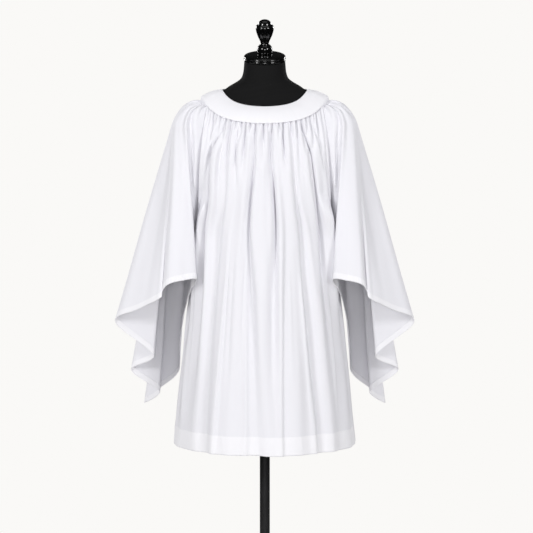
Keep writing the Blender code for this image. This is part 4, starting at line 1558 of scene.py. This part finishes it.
@dataclass(frozen=True)
class HardFinish:
    """Black lacquered wood or painted steel."""

    name: str
    colour: tuple[float, float, float]
    roughness: float
    metallic: float
    coat: float
    grain: float
    cloud_scale: float = 40.0

    def material(self, uneven: bpy.types.NodeTree) -> bpy.types.Material:
        """Make the finish with the shared unevenness."""
        material, graph = new_material(self.name)
        place = graph.add("ShaderNodeTexCoord").outputs["Object"]
        clouds = graph.add("ShaderNodeGroup", {
            "Vector": place, "Scale": self.cloud_scale, "Stretch": 1.0}, node_tree=uneven)
        cloud, rumple = clouds.outputs["Cloud"], clouds.outputs["Rumple"]
        shade = graph.math("MULTIPLY_ADD", cloud, 0.5, 0.75)
        graph.surface(self.colour, shade, rumple, self.roughness, {
            "Normal": graph.bump(rumple, self.grain, 0.3), "Metallic": self.metallic,
            "Coat Weight": self.coat, "Coat Roughness": 0.06})
        return material


WHITE_CLOTH = WovenFinish(
    "white_surplice_cloth", single=(0.740, 0.735, 0.772), double=(0.800, 0.793, 0.822), threads=1700.0,
    roughness=0.80, sheen=0.10, weave_depth=0.00012, rumple_depth=0.0006, variation=0.035, gloss=0.25)
BLACK_COVER = WovenFinish(
    "black_cover_cloth", single=(0.0078, 0.0078, 0.0080), double=(0.0078, 0.0078, 0.0080), threads=1300.0,
    roughness=0.88, sheen=0.0, weave_depth=0.00020, rumple_depth=0.0003, variation=0.30, gloss=0.10)
BLACK_WOOD = HardFinish(
    "black_lacquered_wood", (0.0022, 0.0022, 0.0023), roughness=0.18, metallic=0.0, coat=0.4, grain=0.0001)
BLACK_STEEL = HardFinish(
    "black_painted_steel", (0.014, 0.014, 0.015), roughness=0.42, metallic=0.3, coat=0.0, grain=0.0002)


# ---------------------------------------------------------------- studio

@dataclass(frozen=True)
class Softbox:
    """Rectangular area light aimed at a height on the object's axis."""

    name: str
    place: tuple[float, float, float]
    aim_z: float
    size: tuple[float, float]
    power: float

    def build(self) -> None:
        """Make the light."""
        data = bpy.data.lights.new(self.name, "AREA")
        data.shape = "RECTANGLE"
        data.size, data.size_y = self.size
        data.energy = self.power
        light = linked(self.name, data)
        light.location = self.place
        aim = Vector((0.0, 0.0, self.aim_z)) - light.location
        light.rotation_euler = aim.to_track_quat("-Z", "Y").to_euler()


SOFTBOXES = (
    Softbox("key_left", (-2.6, -3.0, 2.5), 1.2, (0.8, 1.2), 74.0),
    Softbox("key_right", (2.6, -3.0, 2.5), 1.2, (0.8, 1.2), 57.0),
    Softbox("fill", (0.0, -4.4, 1.3), 1.1, (1.2, 0.8), 40.0),
    Softbox("back_left", (-2.4, 3.0, 2.4), 1.2, (0.8, 1.2), 46.0),
    Softbox("back_right", (2.4, 3.0, 2.4), 1.2, (0.8, 1.2), 40.0),
    Softbox("overhead", (0.0, -0.6, 3.8), 1.2, (2.2, 1.6), 6.0),
)


@dataclass
class Studio:
    """Camera, soft lights, pale floor and backdrop light."""

    camera_distance: float = 4.2
    camera_height: float = 1.40
    camera_x: float = 0.0047
    camera_pitch: float = radians(5.178)
    lens: float = 103.155
    backdrop: tuple[float, float, float] = (0.956, 0.947, 0.930)
    sky: tuple[float, float, float] = (0.98, 0.985, 1.0)
    ambient: float = 0.42
    bounce: float = 0.60
    mirrored: float = 0.02
    floor_radius: float = 14.0
    floor_colour: tuple[float, float, float] = (0.90, 0.895, 0.885)
    shadow_radii: tuple[float, float] = (0.35, 1.0)

    def camera(self) -> None:
        """Camera in front, a little above the shoulders' middle, looking slightly down."""
        data = bpy.data.cameras.new("camera")
        data.lens = self.lens
        data.sensor_width = 36.0
        camera = linked("camera", data)
        camera.location = (self.camera_x, -self.camera_distance, self.camera_height)
        camera.rotation_euler = (pi / 2.0 - self.camera_pitch, 0.0, 0.0)
        bpy.context.scene.camera = camera

    def world(self) -> None:
        """Even light from all round, with the backdrop's colour behind the object."""
        world = bpy.data.worlds.new("studio")
        bpy.context.scene.world = world
        graph = Graph.cleared(world)
        tones = ((self.sky, self.ambient), (self.sky, self.mirrored), (self.backdrop, 1.0))
        light, mirrored, seen = [
            graph.add("ShaderNodeBackground", {"Color": (*colour, 1.0), "Strength": strength}).outputs[0]
            for colour, strength in tones]
        path = graph.add("ShaderNodeLightPath")
        lit = graph.mixed(path.outputs["Is Glossy Ray"], light, mirrored)
        shown = graph.mixed(path.outputs["Is Camera Ray"], lit, seen)
        graph.add("ShaderNodeOutputWorld", {"Surface": shown})

    def floor(self) -> None:
        """Pale floor that takes the shadow of the base and fades into the backdrop."""
        select_none()
        bpy.ops.mesh.primitive_circle_add(vertices=96, radius=self.floor_radius, fill_type="NGON")
        floor = bpy.context.object
        floor.name = floor.data.name = "studio_floor"
        material, graph = new_material("studio_floor")
        place = graph.add("ShaderNodeTexCoord").outputs["Object"]
        away = graph.add("ShaderNodeVectorMath", {0: place}, operation="LENGTH").outputs["Value"]
        near, far = self.shadow_radii
        fade = graph.add("ShaderNodeMapRange", {"Value": away, "From Min": near, "From Max": far},
                         interpolation_type="SMOOTHSTEP").outputs["Result"]
        matt = graph.add("ShaderNodeBsdfDiffuse", {"Color": (*self.floor_colour, 1.0)})
        path = graph.add("ShaderNodeLightPath").outputs
        strength = graph.math("MULTIPLY_ADD", path["Is Diffuse Ray"], self.bounce, path["Is Camera Ray"])
        glow = graph.add("ShaderNodeEmission", {"Color": (*self.backdrop, 1.0), "Strength": strength})
        surface = graph.mixed(fade, matt.outputs[0], glow.outputs[0])
        graph.add("ShaderNodeOutputMaterial", {"Surface": surface})
        floor.data.materials.append(material)

    def build(self) -> None:
        """Set up the studio."""
        bpy.context.scene.view_settings.view_transform = "Standard"
        self.camera()
        self.world()
        self.floor()
        for softbox in SOFTBOXES:
            softbox.build()


def corners(box: Sequence[Sequence[float]]) -> list[list[float]]:
    """A box's corners as plain lists."""
    return [[float(value) for value in corner] for corner in box]


def main() -> None:
    """Build the finishes, the surplice, its dress form and the studio."""
    logging.basicConfig(level=logging.INFO, format="%(name)s: %(message)s")
    weave, uneven = weave_group(), unevenness_group()
    cloth = WHITE_CLOTH.material(weave, uneven)
    form = DressForm()
    form.build(BLACK_COVER.material(weave, uneven), BLACK_WOOD.material(uneven), BLACK_STEEL.material(uneven))
    Yoke().build(cloth)
    back_gathers = [Gather(-small.turn + 1.2, small.depth, 95.0 - 0.8 * small.length)
                    for small in FRONT_GATHERS]
    back_pleats = [Pleat(-fold.top + 0.02, -fold.low + 0.03, *fold[2:]) for fold in FRONT_PLEATS]
    BodyPanel(Face.FRONT, FRONT_CREASES, FRONT_PLEATS, FRONT_GATHERS, 3).build(cloth)
    BodyPanel(Face.BACK, BACK_CREASES, back_pleats, back_gathers, 8).build(cloth)
    Sleeve(Side.RIGHT, 5).build(cloth)
    Sleeve(Side.LEFT, 6).build(cloth)
    Studio().build()


if __name__ == "__main__":
    main()
